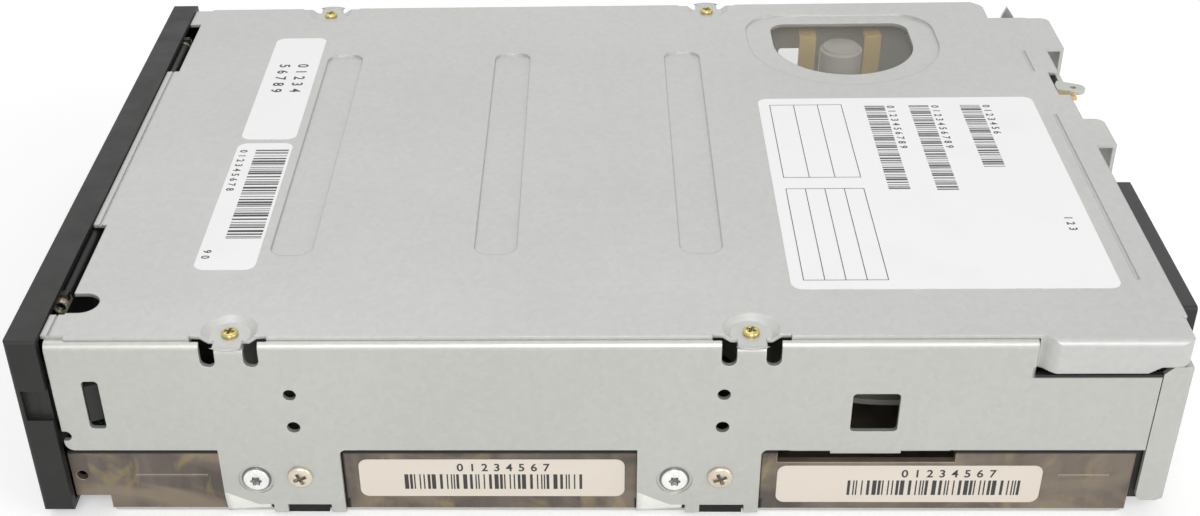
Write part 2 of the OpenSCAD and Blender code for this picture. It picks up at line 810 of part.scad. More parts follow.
module eject_button() color("#404045") at_origin() {
    slab_x(button_sink - bezel_t, face_t - bezel_t) translate([button_y, button_z])
        square([button_w, button_h], center = true);
    slab_x(face_t - bezel_t, face_t - bezel_t + button_skirt) translate([button_y, button_z])
        square([button_w + 2 * button_skirt, button_h + 2 * button_skirt], center = true);
    rod_x(face_t - bezel_t, front_board_x - switch_t - button_travel - press_gap,
        button_y, button_z, stem_r);
}

module button_spring() color("#9a9a9c") at_origin() {
    lo = face_t - bezel_t + button_skirt + button_travel + 3 * button_spring_wire_r;
    hi = front_board_x - switch_t - button_spring_wire_r - press_gap;
    translate([lo, button_y, button_z]) rotate([0, 90, 0])
        coil(stem_r + 3 * button_spring_wire_r, button_spring_wire_r, (hi - lo) / button_turns,
            button_turns);
}

module eject_switch() color("#2c2c2e") at_origin() {
    block(front_board_x - switch_t, front_board_x, button_y - button_w / 2, button_y + button_w / 2,
        button_z - button_h / 2, button_z + button_h / 2);
}

module indicator_lenses() color([0.75, 0.8, 0.7, 0.7]) at_origin() for (z = lens_zs) {
    slab_x(press_gap - bezel_t, face_t - bezel_t) translate([button_y, z])
        square([lens_w, lens_h], center = true);
    slab_x(face_t - bezel_t, front_board_x - switch_t + press_gap) translate([button_y, z])
        square([lens_w + flare, lens_h + flare], center = true);
}

module indicator_lamps() color("#d8d8c8") at_origin() for (z = lens_zs) {
    slab_x(front_board_x - switch_t / 2, front_board_x) translate([button_y, z])
        square([lens_w, lens_h], center = true);
    translate([front_board_x - switch_t / 2, button_y, z]) rotate([0, -90, 0])
        cylinder(h = switch_t / 4, r1 = lens_h / 2, r2 = lens_h / 3);
}

module front_board() color("#2f6b3f") at_origin() {
    slab_x(front_board_x, front_board_x + front_board_t) soft_span(button_y - front_board_half,
        button_y + front_board_half, deck_top + overrun, ear_z - free_gap, corner_r);
}

// Rear panel and its connectors
panel_x = body_l - plate_t;
panel_low = 4.4;
strip_x = body_l - 5;
strip_chamfer = 1.6;
ear = [[0.4, -1], [3.4, -1], [3.4, 2], [1.5, 4.6], [0.4, 2]];
shell_depth = 5;
shell_out = tongue_x - 0.2;
shell_top = cover_low - 1.2;
shell_lip = 1;
shell_lip_drop = 3;
trench_inset = [4, 3];
trench_w = [2, 2.6];
trench_r = 2;
trench_wall = 1;
power_y = [38, 60];
power_z = 19;
power_x = 197;
power_out = tongue_x - 0.4;
power_wall = 1;
power_depth = 6;
power_corner_r = 2.4;
power_pin_r = 1.1;
power_pin_l = 5.5;
jumper_y = [-10, 8];
jumper_z = 13;
jumper_x = 200;
jumper_h = 2.5;
jumper_wall = 1;
jumper_count = 7;
jumper_pin_w = 0.64;
jumper_pin_l = 4;
contact_y = [21.2, 25.4];
raised_y = [-13.4, 59];
rear_gap = 0.3;
lug_t = cover_t;
lug_x = 203.8;
lug_y = 26;
lug_half = 2;
lug_l = 4.6;
lug_turn = -22;
lug_hole_r = 0.7;

module rear_panel() color("#c3c2bc") at_origin() {
    difference() {
        union() {
            slab_x(panel_x, body_l) soft_span(-half_w, half_w, panel_low, panel_top, corner_r);
            block(panel_x, body_l, raised_y[0], raised_y[1], panel_top - overrun, cover_low);
            mirrored() slab_y(plate_in, half_w) difference() {
                union() {
                    span(strip_x, body_l, panel_low + plate_bend_r, panel_top);
                    soft_span(strip_x, body_l, panel_low, panel_top, plate_bend_r);
                }
                polygon([[strip_x - overrun, panel_top - strip_chamfer],
                    [strip_x, panel_top - strip_chamfer], [strip_x + strip_chamfer, panel_top],
                    [strip_x + strip_chamfer, panel_top + overrun],
                    [strip_x - overrun, panel_top + overrun]]);
            }
            slab_y(plate_in, half_w) polygon([for (p = ear) [strip_x + p[0], panel_top + p[1]]]);
        }
        block(panel_x - overrun, body_l + overrun, contact_y[0] - rear_gap,
            contact_y[1] + rear_gap, cover_low - lug_t, cover_low + overrun);
        slab_x(panel_x - overrun, body_l + overrun) {
            span(shell_y[0] - rear_gap, shell_y[1] + rear_gap, shell_z, panel_top + overrun);
            span(power_y[0] - rear_gap, power_y[1] + rear_gap, deck_z, power_z + rear_gap);
            span(jumper_y[0] - rear_gap, jumper_y[1] + rear_gap, deck_z, jumper_z + rear_gap);
        }
    }
}

module scsi_connector() color("#1f1f21") at_origin() difference() {
    union() {
        slab_x(panel_x - shell_depth, shell_out)
            soft_span(shell_y[0], shell_y[1], shell_z, shell_top, corner_r);
        block(panel_x - shell_depth, panel_x - free_gap, shell_y[0] - shell_lip,
            shell_y[1] + shell_lip, shell_z, shell_top - shell_lip_drop);
    }
    slab_x(panel_x + trench_wall, tongue_x + overrun) difference() {
        soft_span(shell_y[0] + trench_inset[0], shell_y[1] - trench_inset[0],
            shell_z + trench_inset[1], shell_top - trench_inset[1], trench_r);
        span(shell_y[0] + trench_inset[0] + trench_w[0], shell_y[1] - trench_inset[0] - trench_w[0],
            shell_z + trench_inset[1] + trench_w[1], shell_top - trench_inset[1] - trench_w[1]);
    }
}

module power_connector() color("#e8e4d6") at_origin() {
    inside_x = panel_x - power_depth;
    pitch = (power_y[1] - power_y[0]) / 4;
    difference() {
        slab_x(power_x, power_out)
            soft_span(power_y[0], power_y[1], deck_top, power_z, corner_r);
        slab_x(inside_x, tongue_x + overrun)
            soft_span(power_y[0] + power_wall, power_y[1] - power_wall, deck_top + power_wall,
                power_z - power_wall, power_corner_r);
    }
    for (k = [0:3]) rod_x(inside_x - press_gap, inside_x + power_pin_l,
        power_y[0] + (k + 0.5) * pitch, (deck_top + power_z) / 2, power_pin_r);
}

module jumper_pins() color("#26262a") at_origin() {
    back_x = panel_x - jumper_wall;
    pitch = (jumper_y[1] - jumper_y[0]) / jumper_count;
    block(jumper_x, back_x, jumper_y[0], jumper_y[1], deck_top, deck_top + jumper_h);
    for (k = [0:jumper_count - 1]) slab_x(back_x - press_gap, back_x + jumper_pin_l)
        translate([jumper_y[0] + (k + 0.5) * pitch, deck_top + jumper_h / 2])
        square(jumper_pin_w, center = true);
}

module ground_lug() color("#c8c8c4") at_origin() difference() {
    slab_z(cover_low, body_h) translate([lug_x, lug_y]) rotate(lug_turn) {
        span(0, lug_l, -lug_half, lug_half);
        translate([lug_l, 0]) circle(lug_half);
    }
    block(lug_x - 2 * lug_half, lug_x, lug_y - 2 * lug_half, lug_y + 2 * lug_half, cover_low - overrun,
        body_h + overrun);
    translate([lug_x, lug_y, 0]) rotate(lug_turn) rod_z(cover_low - overrun, body_h + overrun,
        lug_l - lug_hole_r, 0, lug_hole_r);
}

module ground_contact() color("#c9a24a") at_origin() difference() {
    block(lug_x, body_l + contact_out, contact_y[0], contact_y[1], cover_low - lug_t, cover_low);
    rod_z(cover_low - 2 * lug_t, body_h, lug_x + contact_hole_r * 2,
        contact_y[0] + contact_hole_r * 1.5, contact_hole_r);
}
contact_out = 1.2;
contact_hole_r = 0.5;

// Bottom shield and the boards
shield_t = 0.5;
shield_z = 0.5;
shield_x = [7, 200];
vent_slot_x = 40;
vent_pitch = 15;
vent_count = 9;
vent_at = 18;
vent_half_l = 9;
vent_half_w = 1.5;
board_x = [8, base_end - 2];
board_gap = 4;
board_corner_r = 1;
chip_h = 1.1;
chips = [[96, 30, 24, 24], [96, -30, 18, 14], [26, 36, 14, 10], [128, 34, 16, 16],
    [26, -36, 20, 12], [186, 24, 10, 14]];

module bottom_shield() color("#bdbcb6") at_origin() difference() {
    slab_z(shield_z, shield_z + shield_t) difference() {
        soft_span(shield_x[0], shield_x[1], -wall_out, wall_out, corner_r);
        for (x = hole_xs, s = [-1, 1]) translate([x, s * half_w])
            square([2 * (pad_half + free_gap), 2 * (half_w - pad_in + free_gap)], center = true);
        for (k = [0:vent_count - 1], s = [-1, 1]) translate([vent_slot_x + vent_pitch * k,
            s * vent_at]) rotate(90) pill(-vent_half_l, vent_half_l, 0, vent_half_w);
    }
    mirrored() for (p = post_spots) rod_z(0, deck_z, p[0], p[1], screw_in_r + press_gap);
}

module logic_board() color("#2c6a3c") at_origin() difference() {
    slab_z(board_z, board_top) soft_span(board_x[0], board_x[1], board_gap - wall_in,
        wall_in - board_gap, board_corner_r);
    mirrored() for (p = post_spots) rod_z(0, deck_z, p[0], p[1], screw_in_r + 2 * press_gap);
    for (p = [[motor_x, 0], [reel_x, reel_y]])
        rod_z(0, deck_z, p[0], p[1], motor_r + 2 * free_gap);
}

module board_chips() color("#202022") at_origin() for (c = chips)
    slab_z(board_z - chip_h, board_z) translate([c[0], c[1]]) square([c[2], c[3]], center = true);

// Fasteners
head_flat_share = 0.72;
head_side_share = 0.55;
cover_head = [1.55, 0.9];
star_head = [2.5, dimple_depth + 0.5];
cross_head = [2.4, 0.9];
shield_head = [2.2, 0.45];
leg_shank_l = 4.5;

// head holds the radius and the height of a pan head
module screw(head, shank_r, shank_l) {
    rotate_extrude() polygon([[0, -shank_l], [shank_r, -shank_l], [shank_r, 0], [head[0], 0],
        [head[0], head[1] * head_side_share], [head[0] * head_flat_share, head[1]], [0, head[1]]]);
}

module cover_screws() color("#c8a94e") at_origin() mirrored() for (x = tab_xs)
    translate([x, -tab_screw_y, body_h - tab_drop])
    screw(cover_head, cover_screw_r, cover_t + 1.6 * plate_t);

module leg_star_screws() color("#d2d2d0") at_origin() mirrored() for (x = star_xs)
    translate([x, dimple_depth - half_w, star_z]) rotate([90, 0, 0])
    screw(star_head, screw_in_r, leg_shank_l);

module leg_cross_screws() color("#cfcab8") at_origin() mirrored() for (x = hole_xs)
    translate([x, -half_w, low_screw_z]) rotate([90, 0, 0])
    screw(cross_head, screw_in_r, leg_shank_l);

module bottom_screws() color("#c9c9c6") at_origin() mirrored() for (p = post_spots)
    translate([p[0], p[1], shield_z]) rotate([180, 0, 0])
    screw(shield_head, screw_in_r, deck_top - shield_z);

// Cartridge receiver
tray_x = 30.5;
tray_t = 1.1;
lip_t = 1;
lip_w = 5;
tray_in = bay_w / 2;
tray_out = tray_in + tray_t;
tray_top = bay_z + bay_h + lip_t;
pin_r = 1.1;
pin_z = 25;
pin_xs = [43, 97];
cam_in = tray_out + 0.6;
cam_t = 1.2;
cam_out = cam_in + cam_t;
bracket_in = cam_out + 0.5;
bracket_t = 1.1;
bracket_out = bracket_in + bracket_t;
slot_fit = 0.3;
stop_w = 9;
stop_h = 10;
tray_hole_xs = [16, 44];
tray_hole_w = 18;
tray_hole_at = 15;
tray_hole_r = 4;
tray_eye_x = 8;
tray_eye_r = 2.5;
tray_eye_share = 0.5;
tray_side_x = [28, 46];
tray_side_z = [5, 6];
tray_side_r = 3;
spring_share = 0.78;
spring_half = 2;
spring_x = [12, 20];
spring_t = 0.3;

module receiver_tray() color("#b9b8b2") at_origin() difference() {
    union() {
        slab_x(tray_x, bay_end) difference() {
            span(-tray_out, tray_out, bay_z - lip_t, tray_top);
            span(-tray_in, tray_in, bay_z, tray_top - lip_t);
            span(lip_w - tray_in, tray_in - lip_w, 0, bay_z + overrun);
        }
        mirrored() block(bay_end - tray_t, bay_end, tray_in - stop_w, tray_in + press_gap,
            tray_top - stop_h, tray_top);
    }
    slab_z(tray_top - 2 * lip_t, tray_top + overrun) {
        for (x = tray_hole_xs, s = [-1, 1]) soft_span(tray_x + x, tray_x + x + tray_hole_w,
            s * tray_hole_at - tray_hole_w / 2, s * tray_hole_at + tray_hole_w / 2, tray_hole_r);
        for (s = [-1, 1]) translate([tray_x + tray_eye_x, s * tray_in * tray_eye_share])
            circle(tray_eye_r);
    }
    slab_y(-tray_out - overrun, tray_out + overrun)
        soft_span(tray_x + tray_side_x[0], tray_x + tray_side_x[1], bay_z + tray_side_z[0],
            tray_top - tray_side_z[1], tray_side_r);
}

module receiver_pins() color("#a9a9a6") at_origin() mirrored() for (x = pin_xs)
    rod_y(tray_out, bracket_out - press_gap, x, pin_z, pin_r);

module receiver_springs() color("#c4b27a") at_origin() for (s = [-1, 1])
    block(tray_x + spring_x[0], tray_x + spring_x[1], s * tray_in * spring_share - spring_half,
        s * tray_in * spring_share + spring_half, tray_top, tray_top + spring_t);

// Cam plates, brackets and the shaft that ties them
sync_x = 112;
sync_z = 12.6;
sync_r = 1.25;
gear_module = 0.5;
pinion_teeth = 16;
pinion_r = gear_module * pinion_teeth / 2;
rack_pitch = PI * gear_module;
tooth_up = 0.8 * gear_module;
tooth_down = 1.25 * gear_module;
play = 0.06;
pressure_angle = 20;
cam_x = 27;
cam_z = [14, 33];
cam_end = sync_x + 5;
cam_step_x = 101;
cam_low_end = 94.5;
cam_arm_z = 22;
guide_xs = [62, 84];
guide_z = 30;
bracket_x = 27.5;
bracket_end = sync_x + 5;
bracket_top = 36;
bracket_low_top = 24;
foot_w = 5;
feet = [[32, 80], [32, 96]];
cam_corner_r = 2;
cam_arm_x = cam_low_end - 3;
cam_window = [9, 14];
cam_window_z = [3, 5];
bracket_windows = [6, 28];
bracket_window_w = 20;
bracket_window_z = 4;

function inv(a) = tan(a) * 180 / PI - a;
function tooth_half(n, r, m) = 90 / n + inv(pressure_angle)
    - inv(acos(min(1, m * n / 2 * cos(pressure_angle) / r))) - play / (m * n / 2) * 180 / PI;

// Outline of a gear with n teeth of module m
module gear_shape(n, m) {
    r = m * n / 2;
    base_r = r * cos(pressure_angle);
    root = r - 1.25 * m;
    tip = r + 0.8 * m;
    rs = [max(root, base_r), r - 0.3 * m, r, r + 0.4 * m, tip];
    circle(root, $fn = 4 * n);
    for (k = [0:n - 1]) rotate(90 + 360 * k / n) polygon(concat(
        [[root - m / 2, -m * 0.9]],
        [for (q = rs) q * [cos(tooth_half(n, q, m)), -sin(tooth_half(n, q, m))]],
        [for (i = [len(rs) - 1:-1:0]) rs[i] * [cos(tooth_half(n, rs[i], m)),
            sin(tooth_half(n, rs[i], m))]],
        [[root - m / 2, m * 0.9]]));
}

module rack_teeth(x_lo, x_hi) {
    line = sync_z + pinion_r;
    half = rack_pitch / 4 - play;
    up = tooth_down * tan(pressure_angle);
    down = tooth_up * tan(pressure_angle);
    count = floor((x_hi - x_lo) / rack_pitch / 2);
    for (k = [-count:count]) translate([sync_x - cam_travel / 2 + (k + 0.5) * rack_pitch
        + (cam_travel / 2 - rack_pitch * floor(cam_travel / 2 / rack_pitch)), 0])
        polygon([[-half - up, line + tooth_down + press_gap], [-half + down, line - tooth_up],
            [half - down, line - tooth_up], [half + up, line + tooth_down + press_gap]]);
}

module cam_shape() {
    line = sync_z + pinion_r;
    difference() {
        union() {
            soft_span(cam_x, cam_low_end, cam_z[0], cam_z[1], cam_corner_r);
            soft_span(cam_low_end - 3 * cam_corner_r, cam_step_x, line + tooth_down, cam_z[1],
                cam_corner_r);
            span(cam_arm_x, cam_end, line + tooth_down, cam_arm_z);
            rack_teeth(sync_x - cam_travel - pinion_r / 2, sync_x + pinion_r / 2);
        }
        for (x = pin_xs) {
            for (p = [[x, pin_z], [x - cam_travel, pin_z - lower_travel]])
                translate(p) circle(pin_r + slot_fit);
            polygon([for (p = [[x, pin_z], [x - cam_travel, pin_z - lower_travel]], s = [-1, 1])
                p + s * (pin_r + slot_fit) * [-sin(cam_angle), cos(cam_angle)]],
                [[0, 1, 3, 2]]);
        }
        for (x = guide_xs) soft_span(x - cam_travel - pin_r - slot_fit, x + pin_r + slot_fit,
            guide_z - pin_r - slot_fit, guide_z + pin_r + slot_fit, pin_r + slot_fit - press_gap);
        soft_span(pin_xs[0] + cam_window[0], pin_xs[1] - cam_travel - cam_window[1],
            cam_z[0] + cam_window_z[0], guide_z - cam_window_z[1], cam_corner_r);
    }
}
cam_angle = atan2(lower_travel, cam_travel);

module cam_plate() slab_y(-cam_out, -cam_in) cam_shape();

module cam_plate_right() color("#d6d2c4") at_origin() cam_plate();

module cam_plate_left() color("#d6d2c4") at_origin() mirror([0, 1, 0]) cam_plate();

module loader_bracket(foot) {
    difference() {
        slab_y(-bracket_out, -bracket_in) difference() {
            union() {
                span(bracket_x, cam_step_x + cam_corner_r, deck_top, bracket_top);
                span(bracket_x, bracket_end, deck_top, bracket_low_top);
            }
            for (x = pin_xs) soft_span(x - pin_r - slot_fit, x + pin_r + slot_fit,
                pin_z - lower_travel - pin_r - slot_fit, pin_z + pin_r + slot_fit,
                pin_r + slot_fit - press_gap);
            for (x = bracket_windows) soft_span(pin_xs[0] + x, pin_xs[0] + x + bracket_window_w,
                deck_top + bracket_window_z, guide_z - bracket_window_z, cam_corner_r);
        }
        rod_y(-half_w, 0, sync_x, sync_z, sync_r + run_gap);
    }
    block(foot[0], foot[1], -bracket_out - foot_w, -bracket_out + press_gap, deck_top,
        deck_top + bracket_t);
    for (x = guide_xs) rod_y(-bracket_in - press_gap, -cam_in + slot_fit, x, guide_z, pin_r);
}

module loader_bracket_right() color("#bcbbb4") at_origin() loader_bracket(feet[0]);

module loader_bracket_left() color("#bcbbb4") at_origin() mirror([0, 1, 0])
    loader_bracket(feet[1]);

module sync_shaft() color("#a9a9a6") at_origin()
    rod_y(worm_y - 2.5 * load_gear_half, bracket_out + overrun, sync_x, sync_z, sync_r);

module sync_pinions() color("#e2ddcb") at_origin() mirrored() difference() {
    translate([sync_x, 0, sync_z]) slab_y(-cam_out, -cam_in) gear_shape(pinion_teeth, gear_module);
    rod_y(-half_w, 0, sync_x, sync_z, sync_r + press_gap / 2);
}

// Load motor with its worm and gear
worm_pitch = 1.5;
load_teeth = 20;
load_m = worm_pitch / PI;
load_r = load_m * load_teeth / 2;
load_motor_r = 4.6;
worm_y = -bracket_out - 1.6 * free_gap - load_motor_r;
worm_core = 1.88;
worm_throw = 0.42;
worm_z = sync_z + load_r + worm_core + 2 * press_gap;
load_gear_half = 0.8;
load_motor_x = [85, 104.5];
load_collar_t = 1;
load_cap_t = 1.5;
worm_end = sync_x + 5;

module load_gear() color("#e7e3d4") at_origin() difference() {
    translate([sync_x, 0, sync_z]) slab_y(worm_y - load_gear_half, worm_y + load_gear_half)
        gear_shape(load_teeth, load_m);
    rod_y(-half_w, 0, sync_x, sync_z, sync_r + press_gap / 2);
}

// One unbroken thread: a round bar whose slices circle the X axis
module worm_thread(turns) {
    steps = 14;
    sides = 14;
    rings = steps * turns;
    points = [for (i = [0:rings]) for (k = [0:sides - 1])
        let (a = 360 * i / steps + worm_phase, w = 360 * k / sides)
        [worm_pitch * i / steps, worm_throw * cos(a) + worm_core * cos(w),
            worm_throw * sin(a) + worm_core * sin(w)]];
    walls = [for (i = [0:rings - 1]) for (k = [0:sides - 1])
        let (a = i * sides + k, b = i * sides + (k + 1) % sides)
        each [[a, b + sides, b], [a, a + sides, b + sides]]];
    last = rings * sides;
    ends = [[for (k = [0:sides - 1]) k], [for (k = [sides - 1:-1:0]) last + k]];
    polyhedron(points, concat(walls, ends));
}

module load_worm() color("#c9b06a") at_origin() {
    turns = 6;
    start = sync_x - turns * worm_pitch / 2;
    translate([start, worm_y, worm_z]) worm_thread(turns);
    rod_x(load_motor_x[1] - worm_seat, start + press_gap, worm_y, worm_z, worm_shaft_r);
}
worm_shaft_r = 0.75;
worm_seat = 2;
worm_phase = 90;

module load_motor() color("#b5b5b3") at_origin() difference() {
    union() {
        rod_x(load_motor_x[0], load_motor_x[1] - load_collar_t, worm_y, worm_z, load_motor_r);
        rod_x(load_motor_x[1] - load_collar_t, load_motor_x[1], worm_y, worm_z, load_motor_r / 2);
        rod_x(load_motor_x[0] - load_cap_t, load_motor_x[0], worm_y, worm_z, load_motor_r * 0.8);
    }
    rod_x(load_motor_x[1] - worm_seat - free_gap, load_motor_x[1] + overrun, worm_y, worm_z,
        worm_shaft_r + run_gap);
}

// Reel motors
motor_low = 2.2;
motor_floor = 1;
spindle_r = 2.5;

module spindle_motor(x, y) {
    difference() {
        union() {
            rod_z(motor_low, deck_top, x, y, motor_r);
            rod_z(deck_top, deck_top + motor_flange_t, x, y, motor_flange_r);
        }
        rod_z(motor_low + motor_floor, body_h, x, y, spindle_r + run_gap);
    }
}

module supply_motor() color("#b9b9b6") at_origin() spindle_motor(motor_x, 0);

module take_up_motor() color("#b9b9b6") at_origin() spindle_motor(reel_x, reel_y);

face_teeth = 24;
supply_disc = [deck_top + motor_flange_t + free_gap, 8.9];
supply_r = 15.5;
supply_hub_r = 5;
face_tooth = [10.5, 14.5];
face_tooth_half = 0.75;
face_tooth_h = 2.4;

module supply_gear() color("#e9e6da") at_origin() translate([motor_x, 0, 0]) {
    rod_z(motor_low + motor_floor + free_gap, supply_disc[0] + press_gap, 0, 0, spindle_r);
    rod_z(supply_disc[0], supply_disc[1], 0, 0, supply_r);
    rod_z(supply_disc[1], supply_disc[1] + face_tooth_h, 0, 0, supply_hub_r);
    for (k = [0:face_teeth - 1]) rotate(360 * k / face_teeth) block(face_tooth[0], face_tooth[1],
        -face_tooth_half, face_tooth_half, supply_disc[1] - press_gap, supply_disc[1] + face_tooth_h);
}

// Take-up reel
reel_r = 38;
hub_r = 20;
hub_well = [11, 18];
hub_core_r = 9;
hub_hole_r = 3;
hub_hole_at = 13;
reel_z = [13.8, 15, 28.4, 29.6];

module take_up_reel() color("#d9d8d2") at_origin() translate([reel_x, reel_y, 0]) difference() {
    union() {
        rod_z(motor_low + motor_floor + free_gap, reel_z[0], 0, 0, spindle_r);
        rotate_extrude() difference() {
            union() {
                span(0, hub_core_r, deck_top + motor_flange_t + free_gap, reel_z[0]);
                span(0, reel_r, reel_z[0], reel_z[1]);
                span(0, hub_r, reel_z[0], reel_z[2]);
            }
            span(hub_well[0], hub_well[1], reel_z[1], reel_z[3]);
        }
    }
    for (k = [0:5]) rotate(60 * k) rod_z(0, body_h, hub_hole_at, 0, hub_hole_r);
}

module reel_top_flange() color("#c9c8c0") at_origin() translate([reel_x, reel_y, 0]) difference() {
    rod_z(reel_z[2], reel_z[3], 0, 0, reel_r);
    for (k = [0:7]) rotate(45 * k) rod_z(reel_z[2] - overrun, reel_z[3] + overrun,
        (hub_r + reel_r) / 2, 0, flange_hole_r);
}
flange_hole_r = 3;

// Guide rollers
roller_spots = [[120.5, 48.5], [138, 60.5], [183, 58], [190, 36]];
roller_post_r = 1.5;
roller_r = 5;
roller_flange_r = 6;
roller_z = [13.6, 14.6, 28.8, 29.8];
roller_bevel = 0.4;
seat_gap = 0.1;
post_cap_t = 0.8;
post_cap_share = 1.6;
post_foot_share = 1.8;

module shoulder_post(p, z_lo, z_hi, r) translate([p[0], p[1], 0]) {
    rod_z(deck_top, z_lo - seat_gap, 0, 0, post_foot_share * r);
    rod_z(deck_top, z_hi + seat_gap + post_cap_t, 0, 0, r);
    rod_z(z_hi + seat_gap, z_hi + seat_gap + post_cap_t, 0, 0, post_cap_share * r);
}

module path_posts() color("#b0b0ac") at_origin() {
    for (p = roller_spots) shoulder_post(p, roller_z[0], roller_z[3], roller_post_r);
    shoulder_post(arm_pivot, arm_zs[0], arm_zs[1], arm_post_r);
    shoulder_post(lever_pivot, lever_zs[0], lever_zs[1], arm_post_r);
}

module guide_roller(k) color("#e5e2d6") at_origin()
    translate([roller_spots[k][0], roller_spots[k][1], 0]) rotate_extrude() {
        bore = roller_post_r + run_gap;
        polygon([[bore, roller_z[0]], [roller_flange_r, roller_z[0]],
            [roller_flange_r, roller_z[1] - roller_bevel], [roller_r, roller_z[1]],
            [roller_r, roller_z[2]], [roller_flange_r, roller_z[2] + roller_bevel],
            [roller_flange_r, roller_z[3]], [bore, roller_z[3]]]);
    }

module guide_roller_1() guide_roller(0);
module guide_roller_2() guide_roller(1);
module guide_roller_3() guide_roller(2);
module guide_roller_4() guide_roller(3);

// Tape head with its lift
head_x = 160.5;
head_y = 58;
head_travel = 2.6;
bracket_xs = [5.9, 9.9];
head_bracket_y = 60;
head_bracket_t = 1;
head_foot = 5;
head_top = 38;
bridge_z = [23, 24.2];
bridge_back = 6.6;
stepper_r = 5.1;
stepper_top = 36.5;
stepper_rim = 0.8;
rod_half = 6.8;
rod_y_at = 56;
guide_rod_r = 1;
lead_r = 1.2;
carriage_z = [10, 20];
carriage_y = 52.6;
carriage_tail = 2;
carriage_gaps = [0.2, 0.6];
head_z = [11, 31];
head_half = 7.5;
head_face_y = 48.5;
head_crown_r = 6.8;
head_crown_share = 0.45;
core_slot_x = 2.4;
core_slot_half = 0.25;
core_slot_depth = 1.6;

module head_brackets() color("#c9a24a") at_origin() translate([head_x, 0, 0]) {
    for (s = [0, 1]) mirror([s, 0, 0]) {
        block(bracket_xs[0], bracket_xs[1], head_bracket_y, head_bracket_y + head_bracket_t,
            deck_top, head_top);
        for (z = [deck_top, head_top - head_bracket_t]) block(bracket_xs[0], bracket_xs[1],
            head_bracket_y, head_bracket_y + head_foot, z, z + head_bracket_t);
    }
    difference() {
        block(-bracket_xs[1], bracket_xs[1], head_bracket_y - bridge_back,
            head_bracket_y + press_gap, bridge_z[0], bridge_z[1]);
        rod_z(bridge_z[0] - overrun, bridge_z[1] + overrun, 0, head_y, lead_r + free_gap);
        for (s = [-1, 1]) rod_z(bridge_z[0] - overrun, bridge_z[1] + overrun, s * rod_half,
            rod_y_at, guide_rod_r + press_gap);
    }
}

module head_rods() color("#b9b9b5") at_origin() translate([head_x, 0, 0])
    for (s = [-1, 1]) rod_z(deck_top, bridge_z[1], s * rod_half, rod_y_at, guide_rod_r);

module stepper_motor() color("#8f8f8c") at_origin() translate([head_x, head_y, 0]) difference() {
    union() {
        rod_z(bridge_z[1], stepper_top - stepper_rim, 0, 0, stepper_r);
        rod_z(stepper_top - stepper_rim, stepper_top, 0, 0, stepper_r - stepper_rim);
    }
    rod_z(bridge_z[1] - overrun, stepper_top - 2 * stepper_rim, 0, 0, lead_r + run_gap);
}

module lead_screw() color("#b4b4b0") at_origin() translate([head_x, head_y, 0])
    rod_z(deck_top + press_gap, stepper_top - 2 * stepper_rim - free_gap, 0, 0, lead_r);

module head_carriage() color("#8d8f90") at_origin() translate([head_x, 0, 0]) difference() {
    union() {
        block(carriage_gaps[0] - bracket_xs[1], bracket_xs[1] - carriage_gaps[0], carriage_y,
            head_bracket_y - free_gap, carriage_z[0], carriage_z[1]);
        block(carriage_gaps[1] - bracket_xs[0], bracket_xs[0] - carriage_gaps[1], carriage_y,
            head_bracket_y + carriage_tail, carriage_z[0], carriage_z[1]);
    }
    rod_z(0, bridge_z[0], 0, head_y, lead_r + run_gap);
    for (s = [-1, 1]) rod_z(0, bridge_z[0], s * rod_half, rod_y_at, guide_rod_r + run_gap);
}

module tape_head() color("#9fa0a2") at_origin() translate([head_x, 0, 0]) difference() {
    slab_z(head_z[0], head_z[1]) {
        span(-head_half, head_half, head_face_y, carriage_y);
        translate([0, head_face_y]) scale([1, head_crown_share]) circle(head_crown_r);
    }
    for (s = [-1, 1]) block(s * core_slot_x - core_slot_half, s * core_slot_x + core_slot_half,
        head_face_y - head_crown_r, head_face_y - core_slot_depth, head_z[0] - overrun,
        head_z[1] + overrun);
}

// Leader arm and cartridge lever
arm_pivot = [124, 62];
arm_zs = [31.4, 32.6];
arm_post_r = 1.4;
arm_rest = 222;
arm_l = 16;
arm_eye_r = 3;
arm_half = 1.5;
arm_tip_r = 2;
arm_hook = [16.4, 0.8];
arm_hook_r = 1;
lever_pivot = [116.4, -34];
lever_zs = [18, 20];
lever_eye_r = 2.4;
lever_half = 0.8;
lever_l = 10;
lever_tip = 7.5;

module leader_arm() color("#d8c9a0") at_origin() translate([arm_pivot[0], arm_pivot[1], 0])
    difference() {
        slab_z(arm_zs[0], arm_zs[1]) rotate(arm_rest) {
            circle(arm_eye_r);
            span(0, arm_l, -arm_half, arm_half);
            translate([arm_l, 0]) circle(arm_tip_r);
        }
        slab_z(0, body_h) circle(arm_post_r + run_gap);
        slab_z(0, body_h) rotate(arm_rest) translate(arm_hook) circle(arm_hook_r);
    }

module cartridge_lever() color("#3a3a3d") at_origin()
    translate([lever_pivot[0], lever_pivot[1], 0]) difference() {
        slab_z(lever_zs[0], lever_zs[1]) {
            circle(lever_eye_r);
            span(-lever_half, lever_half, -lever_l - lever_half, 0);
            span(-lever_tip, 0, -lever_l - lever_half, lever_half - lever_l);
        }
        slab_z(0, body_h) circle(arm_post_r + run_gap);
    }

